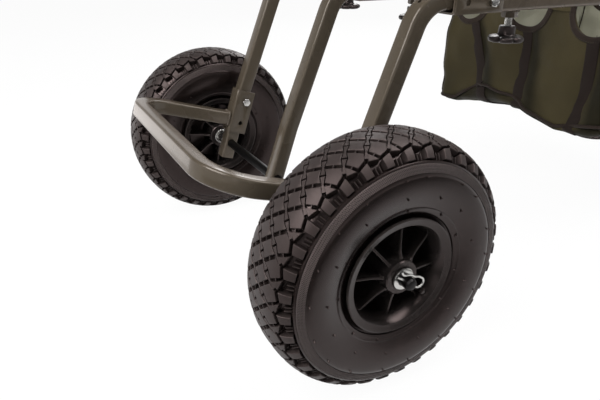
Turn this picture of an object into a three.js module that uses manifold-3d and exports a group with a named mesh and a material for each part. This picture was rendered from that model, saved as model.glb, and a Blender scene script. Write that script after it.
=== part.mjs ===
// Two-wheeled fishing trolley: tube bed with an undercarriage bag, a sliding wheel frame with
// three bent uprights, telescopic rear legs and push handles. Millimetres, +Z up.
// +X is one wheel's side, -Y is the front, the floor is Z = 0 and the axle is over Y = 0
// until the last lines centre the whole trolley on its own bounding box.
import * as THREE from 'three';
import { mergeVertices } from 'three/addons/utils/BufferGeometryUtils.js';
import Module from 'manifold-3d';

const wasm = await Module();
wasm.setup();

// Fits and general construction
const seat = 0.3; // gap left between pieces that rest on each other
const overrun = 4; // how far a cutting shape passes the face that it cuts
const weldDepth = 0.5; // how far a welded or moulded-on piece runs into its carrier
const weldTolerance = 0.0005; // vertices closer than this are one
const bendSteps = 5; // straight facets in each tube bend
const cornerSteps = 1; // facets on each rounded corner of a square tube

// Wheels: 260 x 85 pneumatic tyres on spoked plastic rims
const tyreDiameter = 260;
const tyreWidth = 85;
const wheelInset = 52.5; // a wheel's mid-plane from the axle's end
const sectionHeight = 79; // from the bead seat out to the crown
const waistDrop = 38; // from the crown in to where the section is widest
const crownPowerShare = 2.7; // superellipse power from the waist out to the crown
const treadPitches = 35;
const treadRow = 13.6; // from one row of groove crossings to the next, across the tread
const grooveWidth = 2.6;
const grooveDepth = 3.2;
const lugEdgeOffset = 31; // offset from the mid-plane where a shoulder lug turns down the wall
const lugFootDrop = 15.5; // from the crown in to where the lugs run out into the side wall
const lugHalfTurnShare = 0.28; // half the width of a shoulder lug, in pitches
const wallRingDrop = 34; // from the crown in to where the plain side wall starts
const beadShoulderRise = 19; // from the bead seat out
const beadShoulderOffset = 35.5;
const beadHeelOffset = 28.5;
const beadToeOffset = 20.5;
const carcassWall = 8; // thickness of the casing under the tread grooves

const rimLipRise = 8.7; // from the bead seat out to the lip's edge
const rimLipOffset = 37;
const rimLipEdge = 2.4; // thickness of the lip's rolled edge
const barrelWall = 4;
const rimFaceDish = 1.6; // the lip's face dishes in by this towards the barrel
const rimSegments = 24;
const spokeCount = 8;
const spokeWidth = 4;
const spokeOffset = 27; // how far the spokes stand out from the mid-plane
const spokeTurnDegrees = -5;
const webThickness = 4;
const hubRadius = 17.5;
const hubHalfLength = 38;
const hubSegments = 12;
const ringSegments = 12; // small washers, spacers and holes
const bushOuterRadius = 8.5;

const innerTubeHalfWidth = 23;
const innerTubeSides = 6;
const valveRadius = 3.4;
const valveTurnDegrees = -42;
const valveOffset = 12; // where the valve passes through the barrel
const valveTipOffset = 34; // its bent end stands out this far from the mid-plane

// Axle
const axleRadius = 6;
const axleLength = 562;
const axleSegments = 12;
const washerRadius = 11;
const washerThickness = 2.4;
const spacerRadius = 8.5;
const clipWire = 2.2;
const clipHoleRadius = 1.6;
const clipInset = 6; // clip hole's centre from the axle's end
const clipLoopRadius = 5;
const clipReach = 17; // the loop's far end from the axle's centre
const clipTail = 14; // how far the straight leg stands out past the axle's centre
const clipTurnDegrees = -38;

// Square tube stock
const tubeSize = 19;
const tubeWall = 1.5;
const tubeCorner = 2.2;
const railSize = 26;
const railWall = 2;
const railCorner = 3.2;
const plateThickness = 2;

// Uprights, from the axle up into the bed rails
const uprightInset = 123; // the outer uprights' centre-lines from the axle's ends
const kinkSteps = 1; // straight facets in the kink
const uprightFootDrop = 22; // tube left under the axle
const kinkHeight = 65; // over the axle
const kinkReach = 21.5; // the kink's distance behind the axle
const kinkRadius = 150;
const upperSlopeShare = 0.395; // run over rise above the kink
const shoulderRadius = 38; // centre-line of the big bend
const uprightInsert = 200; // length held in the rail
const drainHoleRadius = 2;
const drainHoleTurnShare = 0.45; // how far round the big bend the drain hole lies

// Front hoop and the two U-brackets that carry it
const hoopPlane = 36.8; // along the upright from the axle
const hoopReach = 152.5; // front bar's centre-line ahead of the axle, along the arms
const hoopLiftDegrees = 16.9; // the hoop's slope up towards its front bar
const hoopBendRadius = 49;
const bracketStart = 18; // along the upright from the axle
const bracketLength = 64;
const bracketDepth = 28;
const bracketHoleRadius = 3.3;
const bracketHolePitch = 33;
const bracketHoleInset = 15.5; // first hole's centre from the bracket's end
const bracketHoleBack = 16.8; // holes' centres from the outside of the folded side
const boltRadius = 3;
const boltHeadRadius = 5.8; // across the corners
const boltHeadHeight = 4;
const nutHeight = 5;

// Bed
const railUnderside = 342.7; // over the floor
const railFront = 115; // behind the axle
const railRearRoom = 170; // rail behind the bag
const deckOverhang = 72; // centre-lines of the deck's side tubes outside the side rails'
const deckFront = 213; // centre-line of the front tube, behind the axle
const deckRearInset = 20; // centre-line of the rear tube from the rails' rear end
const deckBendRadius = 60;
const crossBarShares = [0, 0.4575, 0.9178]; // along the bag from its front

// Clamp knobs
const clampInset = 92.5; // wheel frame clamps, from the rails' front end
const handleClampInset = 110; // handle clamps, from the rails' rear end
const screwRadius = 4;
const screwClearance = 0.6; // round the screw, in its nut and its rail
const clampNutRadius = 8.7; // across the corners
const clampNutHeight = 7.4;
const knobRadius = 19.5;
const knobNotch = 4;
const knobLobes = 6;
const knobLobeShare = 0.56; // of the turn from one notch to the next
const knobThickness = 7;
const knobCrown = 1.6;
const knobHubRadius = 8.7;
const knobHubHeight = 10;
const bareThreadNear = 8.8; // between nut and knob, which are screwed in by different amounts
const bareThreadMiddle = 3;
const bareThreadFar = 3;
const bareThreadRear = 5;

// Rear legs
const legInset = 50; // from the rails' rear end
const socketLength = 150;
const legTopGap = 50; // between the rail's underside and the leg's upper end
const footRadius = 38;
const footThickness = 7;
const footSocketRadius = 17;
const footSocketHeight = 26;
const legClampDrop = 108; // under the rail

// Push handles
const handleInsert = 160;
const handleRun = 50; // straight tube between the rail and the bend
const handleRise = 340; // after the bend
const handleAngleDegrees = 25;
const handleBendRadius = 70;
const gripLength = 132;
const gripRadius = 16.5;
const gripRib = 1.6;
const gripRibs = 4;

// Undercarriage bag
const bagOverhang = 12; // the bag's sides outside the side rails' centre-lines
const bagFront = 425; // behind the axle
const bagLength = 365;
const bagDepth = 182;
const bagWall = 3;
const bagCorner = 10;
const bagBottomInset = 13; // the bottom is smaller than the mouth by this much all round
const bagSag = 12; // the bottom hangs lower in the middle
const bagMiddleShare = 3; // how far in the sagging middle starts, in bottom insets
// Heights over the bottom as shares of the depth, each with its inset in bottom insets
const bagProfileShares = [[-0.02, 1.4], [0.03, 0.75], [0.16, 0.12], [0.5, 0]];
const windowWidthShare = 0.2235; // of the bag's width
const windowDrop = 50; // from the bag's rim to the bottom of a window
const windowMargin = 14; // cloth left outside the outer windows

// Worked out from the sizes above
const tyreRadius = tyreDiameter / 2;
const axleHeight = tyreRadius;
const tyreWaistRadius = tyreRadius - waistDrop;
const lugFootRadius = tyreRadius - lugFootDrop;
const wallRingRadius = tyreRadius - wallRingDrop;
const beadSeatRadius = tyreRadius - sectionHeight;
const beadShoulderRadius = beadSeatRadius + beadShoulderRise;
const rimLipRadius = beadSeatRadius + rimLipRise;
const uprightSpacing = axleLength / 2 - uprightInset;
const deckHalfWidth = uprightSpacing + deckOverhang;
const bagHalfWidth = uprightSpacing + bagOverhang;
const windowWidth = 2 * bagHalfWidth * windowWidthShare;
const windowPitch = bagHalfWidth - windowMargin - windowWidth / 2;
const crossBarPlaces = crossBarShares.map((share) => bagFront + share * bagLength);
const railEnd = bagFront + bagLength + railRearRoom;
const railTop = railUnderside + railSize;
const railCentre = railUnderside + railSize / 2;
const railBore = railSize - 2 * railWall;
const clampedTubeCentre = railTop - railWall - seat - tubeSize / 2;
const wheelOffset = axleLength / 2 - wheelInset;
const deckCentre = railTop + seat + tubeSize / 2;
const wheelFrameClamp = railFront + clampInset;
const handleClamp = railEnd - handleClampInset;
const legPlace = railEnd - legInset;

const alongX = new THREE.Vector3(1, 0, 0);
const alongZ = new THREE.Vector3(0, 0, 1);

// Finishes
const finishes = {
  paintedTube: { color: 0x4b4a3f, roughness: 0.32, metalness: 0.55 },
  brightZinc: { color: 0xc9c9c4, roughness: 0.28, metalness: 0.95 },
  blackSteel: { color: 0x1b1b1c, roughness: 0.45, metalness: 0.7 },
  blackPlastic: { color: 0x1d1c1d, roughness: 0.5, metalness: 0 },
  tyreRubber: { color: 0x2b2729, roughness: 0.75, metalness: 0 },
  gripRubber: { color: 0x18181a, roughness: 0.85, metalness: 0 },
  oliveNylon: { color: 0x3c3926, roughness: 0.85, metalness: 0 },
};

function piece(name, geometry, finish) {
  const mesh = new THREE.Mesh(geometry, new THREE.MeshStandardMaterial(finishes[finish]));
  mesh.name = name;
  return mesh;
}

// Solids for joining and cutting
function toSolid(geometry) {
  const bare = geometry.clone();
  bare.deleteAttribute('normal');
  bare.deleteAttribute('uv');
  const merged = mergeVertices(bare, weldTolerance);
  return new wasm.Manifold(new wasm.Mesh({
    numProp: 3,
    vertProperties: new Float32Array(merged.attributes.position.array),
    triVerts: new Uint32Array(merged.index.array),
  }));
}

function toGeometry(solid) {
  const mesh = solid.getMesh();
  const geometry = new THREE.BufferGeometry();
  geometry.setAttribute('position', new THREE.BufferAttribute(mesh.vertProperties, 3));
  geometry.setIndex(new THREE.BufferAttribute(mesh.triVerts, 1));
  return geometry;
}

function cut(geometry, tools) {
  return toGeometry(tools.reduce((solid, tool) => solid.subtract(toSolid(tool)), toSolid(geometry)));
}

function join(geometries) {
  const [first, ...rest] = geometries.map(toSolid);
  return toGeometry(rest.reduce((solid, next) => solid.add(next), first));
}

function place(geometry, ...moves) {
  const matrix = new THREE.Matrix4();
  moves.forEach((move) => matrix.premultiply(move));
  return geometry.applyMatrix4(matrix);
}

const move = (x, y, z) => new THREE.Matrix4().makeTranslation(x, y, z);
const turn = (axis, angle) => new THREE.Matrix4().makeRotationAxis(axis, angle);
const lay = (axis) => new THREE.Matrix4().makeRotationFromQuaternion(
  new THREE.Quaternion().setFromUnitVectors(alongZ, axis));

// A round bar or tube whose axis runs from the origin along +Z
function bar(radius, length, segments) {
  return new THREE.CylinderGeometry(radius, radius, length, segments)
    .applyMatrix4(new THREE.Matrix4().makeRotationX(Math.PI / 2))
    .applyMatrix4(move(0, 0, length / 2));
}

function sleeve(outer, bore, length, segments) {
  const half = [[bore, 0], [outer, 0], [outer, length], [bore, length], [bore, 0]];
  const profile = half.map(([r, z]) => new THREE.Vector2(r, z));
  return new THREE.LatheGeometry(profile, segments)
    .applyMatrix4(new THREE.Matrix4().makeRotationX(Math.PI / 2));
}

function regularPolygon(radius, corners) {
  return Array.from({ length: corners }, (_, i) => {
    const angle = (i * 2 * Math.PI) / corners;
    return new THREE.Vector2(radius * Math.cos(angle), radius * Math.sin(angle));
  });
}

// A revolved closed outline of (radius, offset) points, its axis laid along X
function revolveAboutX(outline, segments) {
  const profile = [...outline, outline[0]].map(([r, x]) => new THREE.Vector2(r, x));
  return new THREE.LatheGeometry(profile, segments)
    .applyMatrix4(new THREE.Matrix4().makeRotationZ(-Math.PI / 2));
}

function roundedSquare(target, size, corner, steps) {
  const half = size / 2;
  const centre = half - corner;
  for (let quarter = 0; quarter < 4; quarter += 1) {
    for (let step = 0; step <= steps; step += 1) {
      const angle = (quarter + step / steps) * (Math.PI / 2);
      const sign = [[1, 1], [-1, 1], [-1, -1], [1, -1]][quarter];
      const x = sign[0] * centre + corner * Math.cos(angle);
      const y = sign[1] * centre + corner * Math.sin(angle);
      if (quarter === 0 && step === 0) target.moveTo(x, y);
      else target.lineTo(x, y);
    }
  }
  target.closePath();
  return target;
}

function squareTubeSection(size, wall, corner) {
  const section = roundedSquare(new THREE.Shape(), size, corner, cornerSteps);
  const half = size / 2 - wall;
  const bore = new THREE.Path();
  bore.moveTo(half, half);
  bore.lineTo(half, -half);
  bore.lineTo(-half, -half);
  bore.lineTo(-half, half);
  bore.closePath();
  section.holes.push(bore);
  return section;
}

// A path that is sampled only at its own stations, each with its place and direction
class StationPath extends THREE.Curve {
  constructor(stations) {
    super();
    this.stations = stations;
  }

  station(share) {
    return this.stations[Math.round(share * (this.stations.length - 1))];
  }

  getPoint(share, target = new THREE.Vector3()) {
    return target.copy(this.station(share).point);
  }

  getPointAt(share, target) {
    return this.getPoint(share, target);
  }

  getTangent(share, target = new THREE.Vector3()) {
    return target.copy(this.station(share).direction);
  }

  getTangentAt(share, target) {
    return this.getTangent(share, target);
  }
}

// Stations of a route that is straight between its corners and turns each on an arc
function bentStations(corners, radii, steps) {
  const stations = [];
  const heading = (from, to) => to.clone().sub(from).normalize();
  stations.push({ point: corners[0], direction: heading(corners[0], corners[1]) });
  for (let i = 1; i < corners.length - 1; i += 1) {
    const into = heading(corners[i - 1], corners[i]);
    const out = heading(corners[i], corners[i + 1]);
    const bend = into.angleTo(out);
    const axis = into.clone().cross(out).normalize();
    const inward = axis.clone().cross(into);
    const reach = radii[i - 1] * Math.tan(bend / 2);
    const start = corners[i].clone().addScaledVector(into, -reach);
    const centre = start.clone().addScaledVector(inward, radii[i - 1]);
    for (let step = 0; step <= steps[i - 1]; step += 1) {
      const angle = (bend * step) / steps[i - 1];
      const arm = start.clone().sub(centre).applyAxisAngle(axis, angle);
      stations.push({
        point: centre.clone().add(arm),
        direction: into.clone().applyAxisAngle(axis, angle),
      });
    }
  }
  const last = corners.length - 1;
  stations.push({ point: corners[last], direction: heading(corners[last - 1], corners[last]) });
  return stations;
}

function sweep(section, stations) {
  return new THREE.ExtrudeGeometry(section, {
    steps: stations.length - 1,
    bevelEnabled: false,
    extrudePath: new StationPath(stations),
  });
}

function squareTube(size, wall, corner, from, to) {
  const direction = to.clone().sub(from).normalize();
  return sweep(squareTubeSection(size, wall, corner), [
    { point: from, direction },
    { point: to, direction },
  ]);
}

// Tyre
// The outer skin is a superellipse from the waist out to the crown.
function crownRadius(offset) {
  const across = Math.abs(offset) / (tyreWidth / 2);
  return tyreWaistRadius + waistDrop * (1 - across ** crownPowerShare) ** (1 / crownPowerShare);
}

function skinOffset(radius) {
  const up = (radius - tyreWaistRadius) / waistDrop;
  return (tyreWidth / 2) * (1 - up ** crownPowerShare) ** (1 / crownPowerShare);
}

// A place on the skin: across is the offset from the mid-plane, turns counts tread pitches
// and sunk is the depth under the skin, along the section's own normal.
function skinPoint(across, radius, turns, sunk) {
  const wide = tyreWidth / 2;
  const normal = new THREE.Vector2(
    (Math.sign(across) * (Math.abs(across) / wide) ** (crownPowerShare - 1)) / wide,
    (Math.max(0, radius - tyreWaistRadius) / waistDrop) ** (crownPowerShare - 1) / waistDrop,
  ).normalize();
  const x = across - sunk * normal.x;
  const r = radius - sunk * normal.y;
  const angle = (turns * 2 * Math.PI) / treadPitches;
  return new THREE.Vector3(x, r * Math.cos(angle), r * Math.sin(angle));
}

// One half of the tread and casing, which the other half repeats mirrored and half a pitch on
function tyreHalf(side, faces) {
  const at = (spot, sunk) => skinPoint(side * spot.across, spot.radius,
    spot.turns + (side < 0 ? 0.5 : 0), sunk);
  const crown = (across, turns) => ({ across, radius: crownRadius(across), turns });
  const ring = (across, radius) => (turns) => ({ across, radius, turns });
  const face = (points) => {
    const ordered = side < 0 ? [...points].reverse() : points;
    for (let i = 1; i < ordered.length - 1; i += 1) {
      faces.push(ordered[0], ordered[i], ordered[i + 1]);
    }
  };
  // A block stands on a loop of groove-bottom points and its top is drawn in from them.
  const block = (loop, tops = [loop.map((_, i) => i)]) => {
    const middle = {
      across: loop.reduce((sum, p) => sum + p.across, 0) / loop.length,
      turns: loop.reduce((sum, p) => sum + p.turns, 0) / loop.length,
    };
    const pitchLength = (2 * Math.PI * tyreRadius) / treadPitches;
    const drawnIn = loop.map((p) => {
      const dx = middle.across - p.across;
      const dy = (middle.turns - p.turns) * pitchLength;
      const pull = (grooveWidth * Math.SQRT2) / 2 / Math.hypot(dx, dy);
      const across = p.across + dx * pull;
      const turns = p.turns + (dy * pull) / pitchLength;
      if (!p.onWall) return { across, radius: crownRadius(across), turns };
      const inset = (Math.sign(dy) * grooveWidth) / 2 / pitchLength;
      return { across: p.across, radius: p.radius, turns: p.turns + inset };
    });
    const bottom = loop.map((p) => at(p, grooveDepth));
    const top = drawnIn.map((p) => at(p, 0));
    loop.forEach((_, i) => {
      const next = (i + 1) % loop.length;
      face([bottom[i], bottom[next], top[next], top[i]]);
    });
    tops.forEach((corners) => face(corners.map((i) => top[i])));
  };
  const foot = (turns) => ({
    across: skinOffset(lugFootRadius), radius: lugFootRadius, turns, onWall: true,
  });
  const edge = (turns) => ({ ...crown(lugEdgeOffset, turns) });
  const wallRing = ring(skinOffset(wallRingRadius), wallRingRadius);
  const inner = tyreRadius - grooveDepth - carcassWall;
  const casing = [
    ring(beadShoulderOffset, beadShoulderRadius),
    ring(beadHeelOffset, beadSeatRadius + seat),
    ring(beadToeOffset, beadSeatRadius + seat),
    ring(tyreWidth / 2 - carcassWall, tyreWaistRadius),
  ];
  const crownInside = ring(0, inner);
  for (let k = 0; k < treadPitches; k += 1) {
    const left = k - 0.5;
    const right = k + 0.5;
    const lugLeft = k - lugHalfTurnShare;
    const lugRight = k + lugHalfTurnShare;
    const nextLugLeft = lugLeft + 1;
    // A full diamond beside the centre line
    block([
      crown(-treadRow / 2, k), crown(treadRow / 2, right),
      crown(1.5 * treadRow, k), crown(treadRow / 2, left),
    ]);
    // An outer diamond, cut short by the shoulder
    block([
      crown(treadRow / 2, right), crown(1.5 * treadRow, k + 1),
      edge(nextLugLeft), edge(lugRight), crown(1.5 * treadRow, k),
    ]);
    // A shoulder lug that turns down the side wall
    block([
      crown(1.5 * treadRow, k), edge(lugRight), foot(lugRight), foot(lugLeft), edge(lugLeft),
    ], [[0, 1, 4], [1, 2, 3, 4]]);
    // The recess between this lug and the next
    face([edge(lugRight), edge(nextLugLeft), foot(nextLugLeft), foot(lugRight)]
      .map((p) => at(p, grooveDepth)));
    // The step from the lugs down to the plain wall
    face([foot(lugLeft), foot(lugRight)].map((p) => at(p, grooveDepth)).concat(at(wallRing(k), 0)));
    face([at(foot(lugRight), grooveDepth), at(foot(nextLugLeft), grooveDepth),
      at(wallRing(k + 1), 0), at(wallRing(k), 0)]);
    // The casing, from the plain wall round the bead to the inside of the crown
    const waist = [wallRing, ...casing].reduce((above, below) => {
      face([at(above(k), 0), at(above(k + 1), 0), at(below(k + 1), 0), at(below(k), 0)]);
      return below;
    });
    // Inside the crown each half has a corner where the other half's pitches meet
    face([waist(k), waist(k + 1), crownInside(k + 1), crownInside(right), crownInside(k)]
      .map((p) => at(p, 0)));
  }
}

function tyreGeometry() {
  const faces = [];
  tyreHalf(1, faces);
  tyreHalf(-1, faces);
  const geometry = new THREE.BufferGeometry().setFromPoints(faces);
  return mergeVertices(geometry, weldTolerance);
}

// Rim: barrel with rolled lips, a web at the middle, spokes on both faces and the hub
function rimGeometry() {
  const bore = beadSeatRadius - barrelWall;
  const outside = [
    [beadSeatRadius, beadHeelOffset + 2 * seat],
    [rimLipRadius, rimLipOffset - rimLipEdge],
    [rimLipRadius, rimLipOffset],
  ];
  const inside = [
    [bore + 2 * rimFaceDish, rimLipOffset - rimFaceDish / 2],
    [bore, rimLipOffset - rimFaceDish - barrelWall],
  ];
  const mirrored = (points) => points.map(([r, x]) => [r, -x]).reverse();
  const barrel = revolveAboutX([...mirrored(outside), ...outside, ...inside, ...mirrored(inside)],
    rimSegments);
  const web = place(bar(bore + barrelWall / 2, webThickness, rimSegments),
    move(0, 0, -webThickness / 2), lay(alongX));
  const hub = place(bar(hubRadius, 2 * hubHalfLength, hubSegments), move(0, 0, -hubHalfLength), lay(alongX));
  const spokes = Array.from({ length: spokeCount / 2 }, (_, i) => {
    const angle = THREE.MathUtils.degToRad(spokeTurnDegrees) + (i * 2 * Math.PI) / spokeCount;
    return place(
      new THREE.BoxGeometry(2 * spokeOffset, 2 * bore + barrelWall, spokeWidth),
      turn(alongX, angle),
    );
  });
  const boreTool = place(bar(bushOuterRadius + seat, 2 * (hubHalfLength + overrun), hubSegments),
    move(0, 0, -hubHalfLength - overrun), lay(alongX));
  const valveAngle = THREE.MathUtils.degToRad(valveTurnDegrees);
  const valveTool = place(bar(valveRadius + seat, barrelWall + 2 * overrun, 8),
    move(0, 0, bore - overrun), turn(alongX, valveAngle - Math.PI / 2), move(valveOffset, 0, 0));
  return cut(join([barrel, web, hub, ...spokes]), [boreTool, valveTool]);
}

// The air tube, with a valve that passes through the barrel and bends outwards
function innerTubeGeometry() {
  const centre = (tyreRadius - grooveDepth - carcassWall + beadSeatRadius) / 2;
  const reach = centre - beadSeatRadius - 2 * seat;
  const ring = Array.from({ length: innerTubeSides }, (_, i) => {
    const angle = (i * 2 * Math.PI) / innerTubeSides;
    return [centre + reach * Math.cos(angle), innerTubeHalfWidth * Math.sin(angle)];
  });
  const tube = revolveAboutX(ring, rimSegments);
  const valveAngle = THREE.MathUtils.degToRad(valveTurnDegrees);
  const elbow = beadSeatRadius - barrelWall - valveRadius - 2 * seat;
  const stem = place(bar(valveRadius, centre - elbow, 8), move(0, 0, elbow));
  const tip = place(bar(valveRadius, valveTipOffset - valveOffset, 8), lay(alongX),
    move(0, 0, elbow));
  const valve = place(join([stem, tip]), turn(alongX, valveAngle - Math.PI / 2),
    move(valveOffset, 0, 0));
  return join([tube, valve]);
}

function bushGeometry() {
  return place(sleeve(bushOuterRadius, axleRadius + seat, 2 * hubHalfLength, hubSegments),
    move(0, 0, -hubHalfLength), lay(alongX));
}

function wheelPieces(name, side) {
  const spot = (geometry) => place(side < 0 ? geometry.rotateY(Math.PI) : geometry,
    move(side * wheelOffset, 0, axleHeight));
  return [
    piece(`tyre_${name}`, spot(tyreGeometry()), 'tyreRubber'),
    piece(`inner_tube_${name}`, spot(innerTubeGeometry()), 'gripRubber'),
    piece(`rim_${name}`, spot(rimGeometry()), 'blackPlastic'),
    piece(`hub_bush_${name}`, spot(bushGeometry()), 'brightZinc'),
  ];
}

// Axle and what is threaded on it
function axlePieces() {
  const half = axleLength / 2;
  const clipPlace = half - clipInset;
  const hole = (side) => place(bar(clipHoleRadius, 2 * (axleRadius + overrun), 6),
    move(0, 0, -axleRadius - overrun), turn(alongX, clipAngle() - Math.PI / 2),
    move(side * clipPlace, 0, 0));
  const rod = place(bar(axleRadius, axleLength, axleSegments), move(0, 0, -half), lay(alongX));
  const washerStart = wheelOffset + hubHalfLength + seat;
  const washer = (side) => place(
    sleeve(washerRadius, axleRadius + seat, washerThickness, ringSegments),
    move(0, 0, washerStart), lay(alongX.clone().multiplyScalar(side)), move(0, 0, axleHeight));
  return [
    piece('axle', place(cut(rod, [hole(1), hole(-1)]), move(0, 0, axleHeight)), 'blackSteel'),
    piece('axle_washer_near', washer(1), 'brightZinc'),
    piece('axle_washer_far', washer(-1), 'brightZinc'),
    piece('axle_spacer_near', spacerGeometry(1), 'brightZinc'),
    piece('axle_spacer_far', spacerGeometry(-1), 'brightZinc'),
    piece('hitch_clip_near', clipGeometry(1, clipPlace), 'brightZinc'),
    piece('hitch_clip_far', clipGeometry(-1, clipPlace), 'brightZinc'),
  ];
}

// A sleeve between upright and hub, with a flange that the hub turns against
function spacerGeometry(side) {
  const start = uprightSpacing + tubeSize / 2 + seat;
  const length = wheelOffset - hubHalfLength - seat - start;
  const profile = [
    [axleRadius + seat, 0], [spacerRadius, 0], [spacerRadius, length - washerThickness],
    [washerRadius, length - washerThickness], [washerRadius, length], [axleRadius + seat, length],
    [axleRadius + seat, 0],
  ].map(([r, z]) => new THREE.Vector2(r, z));
  const sleeved = new THREE.LatheGeometry(profile, ringSegments)
    .applyMatrix4(new THREE.Matrix4().makeRotationX(Math.PI / 2));
  return place(sleeved, move(0, 0, start), lay(alongX.clone().multiplyScalar(side)),
    move(0, 0, axleHeight));
}

const clipAngle = () => THREE.MathUtils.degToRad(clipTurnDegrees);

// A wire clip: one straight leg through the axle, a round loop, and a leg that springs over it
function clipGeometry(side, clipPlace) {
  const wire = clipWire / 2;
  const over = axleRadius + wire + seat;
  const loop = clipLoopRadius;
  const corners = [
    [-clipTail, 0], [clipReach, 0], [clipReach, 2 * loop], [clipReach - loop - clipWire, 2 * loop],
    [axleRadius / 2, over], [-axleRadius, over], [-clipTail, over + clipWire],
  ].map(([y, z]) => new THREE.Vector3(0, y, z));
  const bends = [loop - wire, loop - wire, wire, wire, clipWire];
  const steps = [3, 3, 1, 1, 1];
  const section = new THREE.Shape().absarc(0, 0, wire, 0, 2 * Math.PI);
  const stations = bentStations(corners, bends, steps);
  const geometry = new THREE.ExtrudeGeometry(section, {
    steps: stations.length - 1,
    bevelEnabled: false,
    curveSegments: 2,
    extrudePath: new StationPath(stations),
  });
  return place(geometry, turn(alongX, clipAngle()), move(side * clipPlace, 0, axleHeight));
}

// Uprights
const lowerHeading = new THREE.Vector3(0, kinkReach, kinkHeight).normalize();
const lowerNormal = new THREE.Vector3().crossVectors(lowerHeading, alongX).negate(); // forward

function uprightCorners() {
  const rise = clampedTubeCentre - axleHeight;
  const kink = new THREE.Vector3(0, kinkReach, kinkHeight);
  return [
    kink.clone().multiplyScalar(-uprightFootDrop / kinkHeight),
    kink,
    new THREE.Vector3(0, kinkReach + (rise - kinkHeight) * upperSlopeShare, rise),
    new THREE.Vector3(0, railFront + uprightInsert, rise),
  ].map((corner) => corner.setZ(corner.z + axleHeight));
}

function uprightGeometry(x) {
  const stations = bentStations(uprightCorners(), [kinkRadius, shoulderRadius],
    [kinkSteps, bendSteps]);
  const tube = sweep(squareTubeSection(tubeSize, tubeWall, tubeCorner), stations);
  const axleTool = place(bar(axleRadius + seat, tubeSize + 2 * overrun, axleSegments),
    move(0, 0, -tubeSize / 2 - overrun), lay(alongX), move(0, 0, axleHeight));
  const stepsToBend = kinkSteps + 2;
  const drain = stations[stepsToBend + Math.round(drainHoleTurnShare * bendSteps)];
  const outward = new THREE.Vector3().crossVectors(drain.direction, alongX).negate();
  const drainTool = place(bar(drainHoleRadius, tubeSize, 6), lay(outward),
    move(0, drain.point.y, drain.point.z));
  const tools = [axleTool, drainTool];
  if (Math.abs(x) > 0) tools.push(boltTool());
  return place(cut(tube, tools), move(x, 0, 0));
}

// A place on the outer uprights' lower stretch: distance up the tube, and back from its centre-line
function alongUpright(distance, back) {
  return new THREE.Vector3(0, 0, axleHeight)
    .addScaledVector(lowerHeading, distance)
    .addScaledVector(lowerNormal, -back);
}

function boltPlace() {
  const folded = tubeSize / 2 + seat + plateThickness;
  return alongUpright(bracketStart + bracketHoleInset + bracketHolePitch, bracketHoleBack - folded);
}

function boltTool() {
  const spot = boltPlace();
  return place(bar(boltRadius + seat, tubeSize + 2 * overrun, 6),
    move(0, 0, -tubeSize / 2 - overrun), lay(alongX), move(0, spot.y, spot.z));
}

// A folded U-bracket: its back plate lies at y = 0 facing -Y, its sides run back along +Y,
// its length runs up +Z from the origin and its two holes pass through both sides.
function uBracket(inside) {
  const half = inside / 2;
  const out = half + plateThickness;
  const depth = bracketDepth;
  const outline = new THREE.Shape([
    [-out, 0], [out, 0], [out, depth], [half, depth], [half, plateThickness],
    [-half, plateThickness], [-half, depth], [-out, depth],
  ].map(([x, y]) => new THREE.Vector2(x, y)));
  const channel = new THREE.ExtrudeGeometry(outline, { depth: bracketLength, bevelEnabled: false });
  const holes = [0, 1].map((i) => place(bar(bracketHoleRadius, 2 * (out + overrun), 8),
    move(0, 0, -out - overrun), lay(alongX),
    move(0, bracketHoleBack, bracketHoleInset + i * bracketHolePitch)));
  return cut(channel, holes);
}

function hoopBracketGeometry(x) {
  const tilt = Math.atan2(lowerHeading.y, lowerHeading.z);
  const spot = alongUpright(bracketStart, -tubeSize / 2 - seat - plateThickness);
  return place(uBracket(tubeSize + 2 * seat), turn(alongX, -tilt), move(x, spot.y, spot.z));
}

// The hoop lies in its own XY plane: arms along +Y from y = 0, the bar across their far ends
function hoopGeometry(reach) {
  const corners = [
    [-uprightSpacing, 0], [-uprightSpacing, reach], [uprightSpacing, reach], [uprightSpacing, 0],
  ].map(([x, y]) => new THREE.Vector3(x, y, 0));
  const stations = bentStations(corners, [hoopBendRadius, hoopBendRadius], [bendSteps, bendSteps]);
  return sweep(squareTubeSection(tubeSize, tubeWall, tubeCorner), stations);
}

const hoopStart = () => tubeSize / 2 + 2 * seat + plateThickness;

function frontHoopGeometry() {
  const lift = THREE.MathUtils.degToRad(hoopLiftDegrees);
  const spot = alongUpright(hoopPlane, -hoopStart());
  return place(hoopGeometry(hoopReach - hoopStart()), turn(alongX, Math.PI - lift),
    move(0, spot.y, spot.z));
}

// A hexagon-headed bolt: the head's seat is at the origin and its shank runs down -Z
function hexBolt(length) {
  return join([
    bar(boltHeadRadius, boltHeadHeight, 6),
    place(bar(boltRadius, length + boltHeadHeight / 2, 6), move(0, 0, -length)),
  ]);
}

// The bolt that holds a hoop bracket to its upright, with its lock nut run up to the far side
function hoopBoltGeometry(side) {
  const spot = boltPlace();
  const face = tubeSize / 2 + 2 * seat + plateThickness;
  const lock = place(bar(boltHeadRadius, nutHeight, 6), move(0, 0, -2 * face - nutHeight));
  const inward = alongX.clone().multiplyScalar(-side);
  return place(join([hexBolt(2 * face + nutHeight + boltRadius), lock]), move(0, 0, face),
    lay(inward), move(side * uprightSpacing, spot.y, spot.z));
}

function tubePlugGeometry(size, wall, corner) {
  const head = new THREE.ExtrudeGeometry(roundedSquare(new THREE.Shape(), size, corner, cornerSteps),
    { depth: plateThickness, bevelEnabled: false });
  const stem = size - 2 * wall - 2 * seat;
  const peg = new THREE.BoxGeometry(stem, stem, size).translate(0, 0, plateThickness + size / 2 - seat);
  return join([head, peg]);
}

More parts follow.
